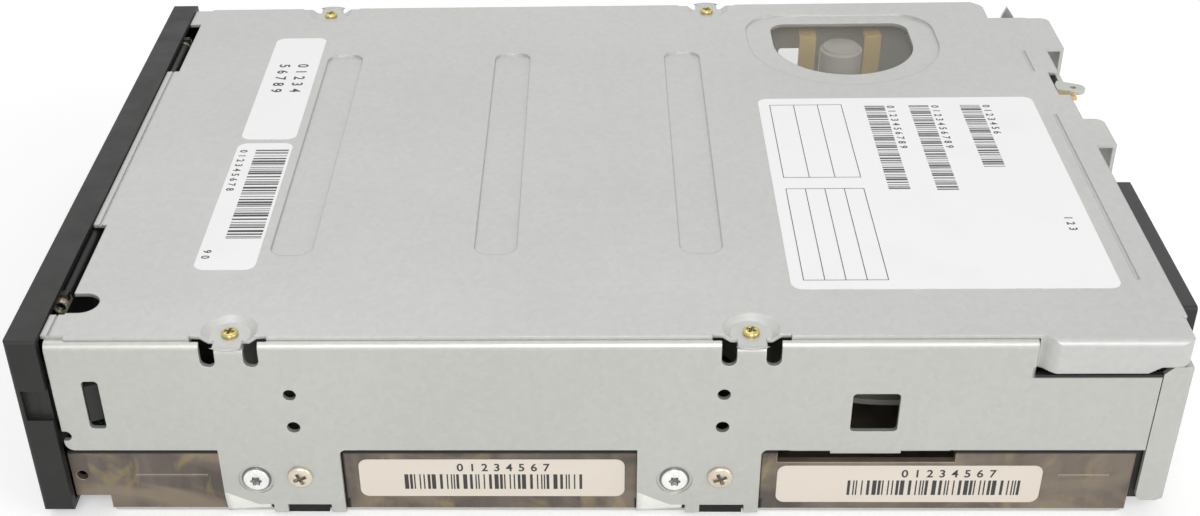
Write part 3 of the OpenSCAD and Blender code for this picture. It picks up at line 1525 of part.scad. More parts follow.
base_casting();
side_plate_right();
side_plate_left();
top_cover();
window_lens();
bezel();
rear_panel();
bottom_shield();
cover_screws();
leg_star_screws();
leg_cross_screws();
bottom_screws();
cartridge_door();
door_shaft();
door_bushes();
door_spring();
eject_button();
button_spring();
indicator_lenses();
indicator_lamps();
front_board();
eject_switch();
logic_board();
board_chips();
scsi_connector();
power_connector();
jumper_pins();
ground_lug();
ground_contact();
receiver_tray();
receiver_pins();
receiver_springs();
cam_plate_right();
cam_plate_left();
loader_bracket_right();
loader_bracket_left();
sync_shaft();
sync_pinions();
load_gear();
load_worm();
load_motor();
supply_motor();
supply_gear();
take_up_motor();
take_up_reel();
reel_top_flange();
path_posts();
guide_roller_1();
guide_roller_2();
guide_roller_3();
guide_roller_4();
head_brackets();
head_rods();
head_carriage();
tape_head();
lead_screw();
stepper_motor();
leader_arm();
cartridge_lever();
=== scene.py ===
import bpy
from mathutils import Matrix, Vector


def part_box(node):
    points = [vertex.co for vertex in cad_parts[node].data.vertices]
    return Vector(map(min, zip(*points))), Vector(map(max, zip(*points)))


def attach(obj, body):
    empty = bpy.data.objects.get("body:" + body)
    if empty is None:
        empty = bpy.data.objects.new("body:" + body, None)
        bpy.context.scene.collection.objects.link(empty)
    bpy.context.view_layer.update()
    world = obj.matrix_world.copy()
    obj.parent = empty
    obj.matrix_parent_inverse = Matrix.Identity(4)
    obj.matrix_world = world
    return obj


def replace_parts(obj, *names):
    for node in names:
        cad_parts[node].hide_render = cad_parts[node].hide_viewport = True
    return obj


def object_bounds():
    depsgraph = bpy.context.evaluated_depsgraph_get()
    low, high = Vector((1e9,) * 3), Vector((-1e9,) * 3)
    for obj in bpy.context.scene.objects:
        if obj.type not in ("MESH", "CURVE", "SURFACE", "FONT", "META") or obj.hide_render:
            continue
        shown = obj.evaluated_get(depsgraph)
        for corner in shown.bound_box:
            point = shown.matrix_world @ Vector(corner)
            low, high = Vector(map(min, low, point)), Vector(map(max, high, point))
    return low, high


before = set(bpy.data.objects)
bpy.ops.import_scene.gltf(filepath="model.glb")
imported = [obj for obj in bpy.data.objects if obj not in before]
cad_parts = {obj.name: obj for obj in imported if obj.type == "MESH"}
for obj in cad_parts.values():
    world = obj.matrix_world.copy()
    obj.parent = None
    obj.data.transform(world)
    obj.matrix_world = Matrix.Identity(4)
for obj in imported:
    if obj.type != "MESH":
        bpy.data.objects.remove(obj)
START_BOX = [list(map(float, corner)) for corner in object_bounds()]

from math import cos, pi, radians, sin

import bmesh
import bpy
from bpy.props import FloatProperty, FloatVectorProperty, IntProperty, PointerProperty
from mathutils import Matrix, Vector

bl_info = {
    "name": "Half-height tape drive",
    "version": (1, 0, 0),
    "blender": (4, 5, 0),
    "location": "View3D > Sidebar > Tape drive",
    "description": "Dresses the tape drive's frame with its finishes, labels and screw heads",
    "category": "Object",
}

MM = 0.001
X, Z = 0, 2

# Places in mm from the bezel's back. The near side is the one that the photograph shows.
SIDES = (("near", -1), ("far", 1))
LEG_STARTS = (29.5, 108.2)
COVER_SCREW_X = (34.4, 128.3)
STAR_SCREW_X = (36.0, 115.25)
CROSS_SCREW_X = (44.5, 123.75)

# Sizes of the screws in mm. The crown is the share of the head's height that is domed.
COVER_SCREW = dict(head_r=1.55, head_h=0.9, crown=0.45, deep=0.5, shank_r=0.88, shank_l=1.6)
STAR_SCREW = dict(head_r=2.5, head_h=0.85, crown=0.5, deep=0.55, shank_r=1.1, shank_l=1.5)
CROSS_SCREW = dict(head_r=2.4, head_h=0.9, crown=0.55, deep=0.6, shank_r=1.1, shank_l=1.5)

# The camera that the photograph was taken with, worked out from the drive's corners.
PHOTO_W, PHOTO_H = 1200, 516
FOCAL_PX = 1633.8
CENTRE_PX = (533.0, 319.6)
EYE_MM = (-1.49, -309.73, 208.86)
YAW, PITCH, ROLL = -2.695, 34.504, -1.713
SENSOR_MM = 36


def colour(name, words, default):
    """A colour setting."""
    return FloatVectorProperty(name=name, description=words, subtype="COLOR", size=3, min=0, max=1,
                               default=default)


def length(name, words, default, least=0.00001, most=0.3):
    """A length setting in metres."""
    return FloatProperty(name=name, description=words, default=default, min=least, max=most,
                         precision=5, unit="LENGTH")


class TapeDriveColours(bpy.types.PropertyGroup):
    """Colours of the drive's finishes"""
    cover: colour("Cover sheet", "Plated sheet of the top cover", (0.565, 0.567, 0.55))
    plate: colour("Side plates", "Plated sheet of the side plates", (0.525, 0.53, 0.495))
    inner: colour("Inner sheet", "Plated sheet of the brackets and the receiver", (0.50, 0.50, 0.47))
    casting: colour("Casting", "Grey-brown finish of the base", (0.150, 0.126, 0.108))
    stain: colour("Casting's stain", "Tan clouds in the base's finish", (0.29, 0.235, 0.17))
    plastic: colour("Front plastic", "Bezel and door", (0.0135, 0.0135, 0.0125))
    ivory: colour("Ivory plastic", "Natural mouldings", (0.64, 0.60, 0.48))
    brass: colour("Brass", "Strips, bushes and worm", (0.70, 0.50, 0.20))
    gold: colour("Yellow zinc", "Screws of the cover", (0.62, 0.50, 0.20))
    cream: colour("Cream zinc", "Cross-head screws of the legs", (0.72, 0.64, 0.52))
    bright: colour("Bright steel", "Star-head screws, pins and rods", (0.72, 0.72, 0.70))
    paper: colour("White paper", "Labels on the cover", (0.985, 0.985, 0.985))
    side_paper: colour("Cream paper", "Labels on the base", (0.78, 0.71, 0.62))
    ink: colour("Ink", "Print on the labels", (0.035, 0.035, 0.037))
    board: colour("Solder mask", "Lacquer of the circuit boards", (0.02, 0.12, 0.05))


class TapeDriveSizes(bpy.types.PropertyGroup):
    """Sizes of the pieces that are added to the frame"""
    bezel_back: length("Bezel's back", "From the middle of the drive forward to the bezel's back", 0.10215)
    label_t: length("Label thickness", "Thickness of the labels", 0.00008)
    print_t: length("Print thickness", "Height of the print over the paper", 0.00002)
    label_corner: length("Label corner", "Radius of a label's corners", 0.0021)
    bar_unit: length("Bar unit", "Width of the narrowest printed bar", 0.00026)
    digit_h: length("Digit height", "Height of the printed digits", 0.0022)
    screw_steps: IntProperty(name="Screw steps", description="Steps round a screw's head",
                             default=72, min=24, max=144)


def tint(name):
    """A colour of the panel."""
    return tuple(getattr(bpy.context.scene.tape_colours, name))


def size(name):
    """A size of the panel."""
    return getattr(bpy.context.scene.tape_sizes, name)


def at(x, y, z):
    """A place given in mm from the bezel's back, the middle plane and the mounting plane."""
    return Vector((x * MM - size("bezel_back"), y * MM, z * MM))


def facing(place, reading, up):
    """A frame at a place: x along the reading direction, y up the letters, z out of the surface."""
    reading, up = Vector(reading), Vector(up)
    turn = Matrix((reading, up, reading.cross(up))).transposed()
    return Matrix.Translation(place) @ turn.to_4x4()


class Shade:
    """A material under construction: its tree, its Principled shader and short calls for nodes."""

    def __init__(self, name):
        self.mat = bpy.data.materials.new(name)
        self.mat.use_nodes = True
        self.tree = self.mat.node_tree
        self.tree.nodes.clear()
        out = self.tree.nodes.new("ShaderNodeOutputMaterial")
        self.shader = self.tree.nodes.new("ShaderNodeBsdfPrincipled")
        self.link(self.shader.outputs[0], out.inputs["Surface"])
        self.place = self.tree.nodes.new("ShaderNodeTexCoord").outputs["Object"]

    def link(self, source, target):
        """A wire between two sockets."""
        self.tree.links.new(source, target)

    def set(self, **values):
        """Plain values on the shader's own sockets, with _ for a space in a socket's name."""
        for name, value in values.items():
            self.shader.inputs[name.replace("_", " ")].default_value = value

    def spot(self, stretch=(1, 1, 1), turn=0.0):
        """The object's own coordinates in metres, stretched and turned about Z."""
        node = self.tree.nodes.new("ShaderNodeMapping")
        node.inputs["Scale"].default_value = stretch
        node.inputs["Rotation"].default_value = (0, 0, turn)
        self.link(self.place, node.inputs["Vector"])
        return node.outputs["Vector"]

    def noise(self, scale, detail=3.0, stretch=(1, 1, 1), turn=0.0, warp=0.0):
        """Cloudy noise, 0 to 1."""
        node = self.tree.nodes.new("ShaderNodeTexNoise")
        node.inputs["Scale"].default_value = scale
        node.inputs["Detail"].default_value = detail
        node.inputs["Distortion"].default_value = warp
        self.link(self.spot(stretch, turn), node.inputs["Vector"])
        return node.outputs["Fac"]

    def cells(self, scale):
        """A different grey for each grain of the plating."""
        node = self.tree.nodes.new("ShaderNodeTexVoronoi")
        node.inputs["Scale"].default_value = scale
        self.link(self.place, node.inputs["Vector"])
        grey = self.tree.nodes.new("ShaderNodeRGBToBW")
        self.link(node.outputs["Color"], grey.inputs["Color"])
        return grey.outputs["Val"]

    def span(self, value, low, high, to_low=0.0, to_high=1.0):
        """The value between low and high, taken to another span and held inside it."""
        node = self.tree.nodes.new("ShaderNodeMapRange")
        node.inputs["From Min"].default_value = low
        node.inputs["From Max"].default_value = high
        node.inputs["To Min"].default_value = to_low
        node.inputs["To Max"].default_value = to_high
        self.link(value, node.inputs["Value"])
        return node.outputs["Result"]

    def maths(self, kind, first, second):
        """A sum of two values, each a number or a socket."""
        node = self.tree.nodes.new("ShaderNodeMath")
        node.operation = kind
        for socket, value in zip(node.inputs, (first, second)):
            if isinstance(value, (int, float)):
                socket.default_value = value
            else:
                self.link(value, socket)
        return node.outputs[0]

    def mix(self, share, first, second):
        """Two colours, each a tuple or a socket, mixed by a share that is a socket."""
        node = self.tree.nodes.new("ShaderNodeMix")
        node.data_type = "RGBA"
        self.link(share, node.inputs["Factor"])
        for socket, value in zip((node.inputs[6], node.inputs[7]), (first, second)):
            if isinstance(value, tuple):
                socket.default_value = (*value, 1)
            else:
                self.link(value, socket)
        return node.outputs[2]

    def band(self, axis, low, high, fade=0.0004):
        """1 where the object's own coordinate on an axis lies between two places, 0 outside."""
        node = self.tree.nodes.new("ShaderNodeSeparateXYZ")
        self.link(self.place, node.inputs[0])
        place = node.outputs[axis]
        up = self.span(place, low - fade, low)
        down = self.span(place, high, high + fade, 1.0, 0.0)
        return self.maths("MULTIPLY", up, down)

    def patch(self, *bands):
        """1 where all the bands (axis, low, high) meet."""
        total = self.band(*bands[0])
        for one in bands[1:]:
            total = self.maths("MULTIPLY", total, self.band(*one))
        return total

    def part_of(self, value, share):
        """The value, weakened to a share of itself."""
        return self.maths("MULTIPLY", value, share)

    def paint(self, source):
        """The base colour."""
        self.link(source, self.shader.inputs["Base Color"])

    def gloss(self, value, low, high):
        """Roughness that wanders between low and high with a value."""
        self.link(self.span(value, 0.3, 0.7, low, high), self.shader.inputs["Roughness"])

    def relief(self, height, strength, distance, edge=0.0002):
        """Bump over softened edges. Gives back how near the surface is to an edge, 0 to 1."""
        soft = self.tree.nodes.new("ShaderNodeBevel")
        soft.samples = 4
        soft.inputs["Radius"].default_value = edge
        bump = self.tree.nodes.new("ShaderNodeBump")
        bump.inputs["Strength"].default_value = strength
        bump.inputs["Distance"].default_value = distance
        self.link(height, bump.inputs["Height"])
        self.link(soft.outputs["Normal"], bump.inputs["Normal"])
        self.link(bump.outputs["Normal"], self.shader.inputs["Normal"])
        flat = self.tree.nodes.new("ShaderNodeNewGeometry")
        dot = self.tree.nodes.new("ShaderNodeVectorMath")
        dot.operation = "DOT_PRODUCT"
        self.link(soft.outputs["Normal"], dot.inputs[0])
        self.link(flat.outputs["Normal"], dot.inputs[1])
        return self.span(dot.outputs["Value"], 0.995, 0.85)


def scaled(rgb, share):
    """A colour made lighter or darker by a share."""
    return tuple(min(1.0, part * share) for part in rgb)


def plated_sheet(name, rgb, rough=(0.36, 0.48), metallic=0.55, painted_edge_shading=1.3, edge=0.0002, shadow=()):
    """Zinc-plated sheet: grain of the plating, soft clouds, handling marks, and painted light along the
    edges: a painted highlight where the edge tone is above 1, painted shade where it is below 1.
    Each entry of shadow is a patch of bands that lies in the dark."""
    work = Shade(name)
    grain = work.cells(900)
    cloud = work.noise(22, detail=4)
    marks = work.span(work.noise(9, detail=6, stretch=(1, 28, 1), turn=0.5, warp=0.2), 0.68, 0.72)
    tone = work.maths("ADD", work.part_of(grain, 0.35), work.part_of(cloud, 0.65))
    base = work.mix(work.span(tone, 0.3, 0.72), scaled(rgb, 0.955), scaled(rgb, 1.035))
    base = work.mix(work.part_of(marks, 0.10), base, scaled(rgb, 1.25))
    near = work.relief(work.noise(1500, detail=2), strength=0.08, distance=0.00004, edge=edge)
    # Painted light: near the edges the colour is scaled by the edge tone, a painted highlight above 1 and
    # painted shade below 1.
    base = work.mix(work.part_of(near, 0.5), base, scaled(rgb, painted_edge_shading))
    for bands in shadow:
        base = work.mix(work.patch(*bands), base, (0.03, 0.03, 0.03))
    work.paint(base)
    work.gloss(work.noise(60, detail=4), *rough)
    work.set(Metallic=metallic)
    return work.mat


def cast_finish(name, rgb, stain):
    """Semi-gloss chromated casting: clouds of stain, run marks, tan spots, a painted highlight along the
    edges, and painted shade below the plates' edge, under the legs and beside them."""
    work = Shade(name)
    clouds = work.span(work.noise(30, detail=7, stretch=(1, 1, 2.2), warp=1.2), 0.46, 0.66)
    runs = work.span(work.noise(150, detail=5, stretch=(1, 1, 0.2), turn=0.2, warp=0.5), 0.38, 0.68)
    base = work.mix(runs, scaled(rgb, 0.66), scaled(rgb, 1.25))
    base = work.mix(work.part_of(clouds, 0.75), base, stain)
    spots = work.span(work.noise(95, detail=4, stretch=(1, 1, 0.7), turn=0.5, warp=1.6), 0.57, 0.68)
    tan = (0.33, 0.26, 0.13)
    base = work.mix(work.part_of(spots, 0.55), base, tan)
    edge = work.relief(work.noise(800, detail=3), strength=0.18, distance=0.00006, edge=0.0003)
    # Painted highlight: near the edges the colour goes to a lighter tone of the stain.
    base = work.mix(work.part_of(edge, 0.8), base, scaled(stain, 1.9))
    # Painted shade: near-black bands below the plates' edge, under the legs and beside them.
    plate_low, foot_high, leg_w = 0.0146, 0.0033, 0.0215
    dark = work.band(Z, plate_low, 0.02)
    for start in LEG_STARTS:
        left = start * MM - size("bezel_back")
        under = work.patch((X, left - 0.0002, left + leg_w + 0.0021), (Z, 0.0, foot_high))
        beside = work.patch((X, left + leg_w, left + leg_w + 0.0017), (Z, 0.0, 0.0165))
        dark = work.maths("MAXIMUM", dark, work.maths("MAXIMUM", under, beside))
    painted_shade_colour = (0.012, 0.011, 0.010)
    work.paint(work.mix(dark, base, painted_shade_colour))
    work.gloss(work.noise(90, detail=4), 0.36, 0.56)
    work.set(Metallic=0.45, Coat_Weight=0.06)
    return work.mat


def moulded(name, rgb, rough=(0.42, 0.56), grain=2600, bump=0.3, scuff_and_edge_light=1.8, coat=0.0):
    """Moulded plastic: eroded grain, faint clouds, scuffs, and a painted highlight along the edges."""
    work = Shade(name)
    tone = work.span(work.noise(70, detail=4), 0.35, 0.7)
    base = work.mix(tone, scaled(rgb, 0.86), scaled(rgb, 1.14))
    edge = work.relief(work.noise(grain, detail=2), strength=bump, distance=0.00004)
    scuff = work.span(work.noise(40, detail=6, stretch=(1, 9, 9), turn=0.7), 0.62, 0.72)
    base = work.mix(work.part_of(scuff, 0.18), base, scaled(rgb, scuff_and_edge_light))
    # Painted highlight: near the edges the colour is scaled by the same share as the scuffs.
    work.paint(work.mix(work.part_of(edge, 0.35), base, scaled(rgb, scuff_and_edge_light)))
    work.gloss(work.noise(180, detail=3), *rough)
    work.set(Coat_Weight=coat, Specular_IOR_Level=0.4)
    return work.mat


def turned_metal(name, rgb, rough=(0.18, 0.34), metallic=0.95, lines=(60, 60, 1)):
    """Turned, drawn or ground metal: fine lines along the work, darker film in patches, and a painted
    highlight along the edges.
    """
    work = Shade(name)
    film = work.span(work.noise(160, detail=4), 0.45, 0.75)
    cut = work.noise(240, detail=3, stretch=lines)
    base = work.mix(work.span(cut, 0.3, 0.7), scaled(rgb, 0.88), scaled(rgb, 1.1))
    base = work.mix(work.part_of(film, 0.4), base, scaled(rgb, 0.62))
    edge = work.relief(cut, strength=0.08, distance=0.00003, edge=0.00012)
    # Painted highlight: near the edges the colour is 1.3 times lighter.
    work.paint(work.mix(work.part_of(edge, 0.4), base, scaled(rgb, 1.3)))
    work.gloss(film, *rough)
    work.set(Metallic=metallic)
    return work.mat


def printed(name, rgb, rough=(0.42, 0.55)):
    """Paper or ink with a faint fibre and a little soiling."""
    work = Shade(name)
    soil = work.span(work.noise(55, detail=5), 0.55, 0.8)
    work.paint(work.mix(work.part_of(soil, 0.5), rgb, scaled(rgb, 0.93)))
    fibre = work.noise(3000, detail=2, stretch=(1, 3, 1))
    work.relief(fibre, strength=0.05, distance=0.00002, edge=0.00005)
    work.gloss(work.noise(200, detail=3), *rough)
    return work.mat


def board_finish(name, rgb):
    """Circuit board: lacquer over copper tracks, with bright spots for the solder."""
    work = Shade(name)
    tracks = work.tree.nodes.new("ShaderNodeTexBrick")
    tracks.inputs["Scale"].default_value = 260
    tracks.inputs["Mortar Size"].default_value = 0.035
    tracks.offset = 0.37
    work.link(work.spot(), tracks.inputs["Vector"])
    dots = work.tree.nodes.new("ShaderNodeTexVoronoi")
    dots.inputs["Scale"].default_value = 330
    dots.inputs["Randomness"].default_value = 0.35
    work.link(work.place, dots.inputs["Vector"])
    pads = work.maths("LESS_THAN", dots.outputs["Distance"], 0.17)
    lacquer = work.mix(tracks.outputs["Fac"], rgb, scaled(rgb, 2.1))
    work.paint(work.mix(pads, lacquer, (0.52, 0.50, 0.44)))
    work.relief(tracks.outputs["Fac"], strength=0.3, distance=0.00003, edge=0.0001)
    work.gloss(work.noise(150, detail=3), 0.22, 0.38)
    work.set(Coat_Weight=0.4, Coat_Roughness=0.15)
    return work.mat


def plate_face():
    """Distance of the side plates' outer faces from the middle plane, in mm."""
    return -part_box("side_plate_right")[0][1] / MM


def dress(mat, *names):
    """Gives each named node of the frame this one material."""
    for name in names:
        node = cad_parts[name]
        node.data.materials.clear()
        node.data.materials.append(mat)


def piece(name, bm, *mats, body="drive"):
    """An object made from a bmesh. It rides on a body."""
    bmesh.ops.recalc_face_normals(bm, faces=bm.faces)
    mesh = bpy.data.meshes.new(name)
    bm.to_mesh(mesh)
    bm.free()
    for mat in mats:
        mesh.materials.append(mat)
    obj = bpy.data.objects.new(name, mesh)
    bpy.context.scene.collection.objects.link(obj)
    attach(obj, body)
    return obj


def prism(bm, outline, low, high, frame_at, slot=0):
    """A flat outline drawn out between two heights."""
    foot = [bm.verts.new(frame_at @ Vector((x, y, low))) for x, y in outline]
    head = [bm.verts.new(frame_at @ Vector((x, y, high))) for x, y in outline]
    faces = [bm.faces.new(foot[::-1]), bm.faces.new(head)]
    for k in range(len(outline)):
        n = (k + 1) % len(outline)
        faces.append(bm.faces.new((foot[k], foot[n], head[n], head[k])))
    for face in faces:
        face.material_index = slot


def rounded(width, height, radius, steps=6):
    """Outline of a rectangle with round corners, about its middle."""
    points = []
    for k, (sx, sy) in enumerate(((1, 1), (-1, 1), (-1, -1), (1, -1))):
        for s in range(steps + 1):
            angle = (k + s / steps) * pi / 2
            points.append((sx * (width / 2 - radius) + radius * cos(angle),
                           sy * (height / 2 - radius) + radius * sin(angle)))
    return points


def oblong(x0, x1, y0, y1):
    """Outline of a plain rectangle."""
    return [(x0, y0), (x1, y0), (x1, y1), (x0, y1)]


def turned(bm, rows, frame_at, steps, deep_rows=0):
    """A closed solid from rows of (radius, height). A radius is a number or a function of the angle.
    The last rows take the second material."""
    rings = []
    for radius, height in rows:
        ring = []
        for k in range(steps):
            angle = 2 * pi * k / steps
            reach = radius(angle) if callable(radius) else radius
            ring.append(bm.verts.new(frame_at @ Vector((reach * cos(angle), reach * sin(angle), height))))
        rings.append(ring)
    ends = [bm.faces.new(rings[0][::-1]), bm.faces.new(rings[-1])]
    ends[1].material_index = int(deep_rows > 0)
    for row, (low, high) in enumerate(zip(rings, rings[1:])):
        for k in range(steps):
            n = (k + 1) % steps
            face = bm.faces.new((low[k], low[n], high[n], high[k]))
            face.material_index = int(row >= len(rings) - 1 - deep_rows)
            face.smooth = True


def cross(arm, half):
    """Radius of a cross recess at an angle, from the length of its arms and half their width in mm."""
    def reach(angle):
        along, across = abs(cos(angle)) + 1e-9, abs(sin(angle)) + 1e-9
        return MM * max(min(arm / along, half / across), min(arm / across, half / along))
    return reach


def star(radius, depth=0.14):
    """Radius of a six-lobed recess at an angle, from its outer radius in mm."""
    return lambda angle: radius * MM * (1 - depth + depth * cos(6 * angle))


def shrunk(recess, share):
    """The same recess, smaller by a share."""
    return lambda angle: recess(angle) * share


def screw(bm, seat, recess, head_r, head_h, crown, deep, shank_r, shank_l):
    """A screw with its head on the seat's plane: shank, rim, crown and a tapered recess. Sizes in mm."""
    head_r, head_h, deep = head_r * MM, head_h * MM, deep * MM
    shank_r, shank_l = shank_r * MM, shank_l * MM
    shank = [(shank_r * 0.6, -shank_l), (shank_r, -shank_l + shank_r * 0.5), (shank_r, 0)]
    rim = [(head_r * 0.97, 0), (head_r, head_h * 0.12), (head_r, head_h * (1 - crown))]
    dome = [(head_r * 0.93, head_h * (1 - crown * 0.6)), (head_r * 0.78, head_h * (1 - crown * 0.2))]
    hollow = [(recess, head_h), (shrunk(recess, 0.86), head_h - deep * 0.3),
              (shrunk(recess, 0.45), head_h - deep)]
    turned(bm, shank + rim + dome + hollow, seat, size("screw_steps"), 2)


class TAPE_OT_case(bpy.types.Operator):
    """Finish of the cover, side plates, base, rear panel and bottom shield"""
    bl_idname = "tape_drive.case"
    bl_label = "Case"

    def execute(self, context):
        # The skirt of the cover keeps the light from this strip of the plates.
        step = at(178.9, 0, 33.1)
        under_skirt = ((X, step.x, step.x + 0.024, 0.0008), (Z, step.z, step.z + 0.002, 0.0003))
        smooth = (0.34, 0.46)
        # The cover's edges and rib slopes are scaled to 0.72 of its colour: painted shade.
        dress(plated_sheet("cover_sheet", tint("cover"), painted_edge_shading=0.72, edge=0.0004), "top_cover")
        dress(plated_sheet("plate_sheet", tint("plate"), smooth, shadow=(under_skirt,)),
              "side_plate_right", "side_plate_left")
        dress(plated_sheet("panel_sheet", tint("plate"), smooth), "rear_panel", "ground_lug",
              "bottom_shield")
        dress(cast_finish("casting_finish", tint("casting"), tint("stain")), "base_casting")
        self.end_webs()
        return {"FINISHED"}

    def end_webs(self):
        """Walls behind the base's rear ends, seen in the gap before the rear panel's flanges; their
        near-black colour is painted shade.
        """
        width, height, thick, corner_r = 6.4, 12.4, 0.5, 0.8
        x, y, z = 202.0, 70.9, 10.1
        webs = bmesh.new()
        for _, s in SIDES:
            middle = facing(at(x, s * y, z), (-s, 0, 0), (0, 0, 1))
            prism(webs, rounded(width * MM, height * MM, corner_r * MM), 0, thick * MM, middle)
        # Painted shade: the walls are near black so that the gap looks shaded.
        black = moulded("web_dark", (0.02, 0.018, 0.015), (0.5, 0.7), grain=900, bump=0.1, scuff_and_edge_light=0)
        piece("base_end_webs", webs, black)


class TAPE_OT_window(bpy.types.Operator):
    """Smoked lens of the viewing window"""
    bl_idname = "tape_drive.window"
    bl_label = "Window"

    def execute(self, context):
        work = Shade("smoked_lens")
        haze = work.span(work.noise(45, detail=4), 0.3, 0.7)
        work.paint(work.mix(haze, (0.42, 0.40, 0.35), (0.48, 0.45, 0.39)))
        work.relief(work.noise(400, detail=2), strength=0.02, distance=0.00003)
        work.set(Alpha=0.22, Roughness=0.04, IOR=1.49)
        dress(work.mat, "window_lens")
        return {"FINISHED"}


class TAPE_OT_front(bpy.types.Operator):
    """Finish of the bezel, the door, its hinge and the controls"""
    bl_idname = "tape_drive.front"
    bl_label = "Front"

    def execute(self, context):
        black, steel = tint("plastic"), tint("bright")
        dress(moulded("bezel_plastic", black, scuff_and_edge_light=3.2), "bezel")
        dress(moulded("door_plastic", scaled(black, 0.85), (0.36, 0.5), scuff_and_edge_light=3), "cartridge_door")
        dress(moulded("button_plastic", scaled(black, 1.6), (0.38, 0.5), scuff_and_edge_light=3), "eject_button")
        dress(turned_metal("blackened_shaft", scaled(steel, 0.3)), "door_shaft")
        dress(turned_metal("turned_brass", tint("brass")), "load_worm")
        dress(turned_metal("pale_bronze", (0.66, 0.59, 0.44), (0.3, 0.45), metallic=0.6), "door_bushes")
        dress(turned_metal("spring_wire", scaled(steel, 0.8)), "door_spring", "button_spring",
              "receiver_springs")
        dress(moulded("clear_lens", (0.42, 0.46, 0.36), (0.08, 0.16), grain=900, bump=0.05, scuff_and_edge_light=1.2,
                      coat=0.5), "indicator_lenses")
        dress(moulded("lamp_epoxy", (0.62, 0.60, 0.46), (0.1, 0.2), grain=900, bump=0.05, scuff_and_edge_light=1.2,
                      coat=0.4), "indicator_lamps")
        dress(moulded("black_moulding", (0.022, 0.022, 0.024), (0.3, 0.44)), "eject_switch", "jumper_pins",
              "scsi_connector", "cartridge_lever", "board_chips")
        return {"FINISHED"}


class TAPE_OT_works(bpy.types.Operator):
    """Finish of the loading mechanism, reels, tape path and head"""
    bl_idname = "tape_drive.works"
    bl_label = "Works"

    def execute(self, context):
        steel, drawn = tint("bright"), (1, 1, 40)
        dress(plated_sheet("inner_sheet", tint("inner"), (0.3, 0.42), metallic=0.7), "receiver_tray",
              "loader_bracket_right", "loader_bracket_left")
        dress(turned_metal("ground_pins", steel), "receiver_pins", "sync_shaft", "path_posts", "head_rods",
              "lead_screw")
        dress(moulded("ivory_moulding", tint("ivory"), (0.36, 0.5), grain=1800, bump=0.12, scuff_and_edge_light=1.15),
              "cam_plate_right", "cam_plate_left", "power_connector")
        rollers = ["guide_roller_%d" % (k + 1) for k in range(4)]
        dress(moulded("white_acetal", (0.72, 0.70, 0.60), (0.3, 0.44), grain=1500, bump=0.08, scuff_and_edge_light=1.1),
              "sync_pinions", "load_gear", "supply_gear", *rollers)
        dress(turned_metal("motor_can", scaled(steel, 0.82), (0.26, 0.4)), "load_motor", "supply_motor",
              "take_up_motor")
        dress(moulded("reel_plastic", (0.50, 0.49, 0.43), (0.3, 0.45), grain=1400, bump=0.1, scuff_and_edge_light=1.2),
              "take_up_reel", "reel_top_flange")
        dress(turned_metal("stamped_brass", tint("brass"), (0.24, 0.4), metallic=0.9, lines=drawn),
              "ground_contact", "leader_arm")
        # Brass of the head brackets, made as light as the colour goes and almost plain: the hue is brass,
        # the extra lightness is painted light.
        dress(turned_metal("bracket_brass", (1.0, 0.66, 0.16), (0.3, 0.45), metallic=0.1, lines=drawn),
              "head_brackets")
        dress(moulded("stepper_cap", (0.72, 0.69, 0.64), (0.14, 0.26), grain=900, bump=0.06, scuff_and_edge_light=1.3,
                      coat=0.3), "stepper_motor")
        dress(turned_metal("die_cast", (0.42, 0.42, 0.41), (0.36, 0.5), metallic=0.7, lines=(1, 1, 1)),
              "head_carriage")
        dress(moulded("head_ceramic", (0.10, 0.10, 0.105), (0.06, 0.14), grain=900, bump=0.03, scuff_and_edge_light=1.5,
                      coat=0.6), "tape_head")
        return {"FINISHED"}


class TAPE_OT_boards(bpy.types.Operator):
    """Finish of the circuit boards"""
    bl_idname = "tape_drive.boards"
    bl_label = "Boards"

    def execute(self, context):
        dress(board_finish("board_lacquer", tint("board")), "logic_board", "front_board")
        return {"FINISHED"}


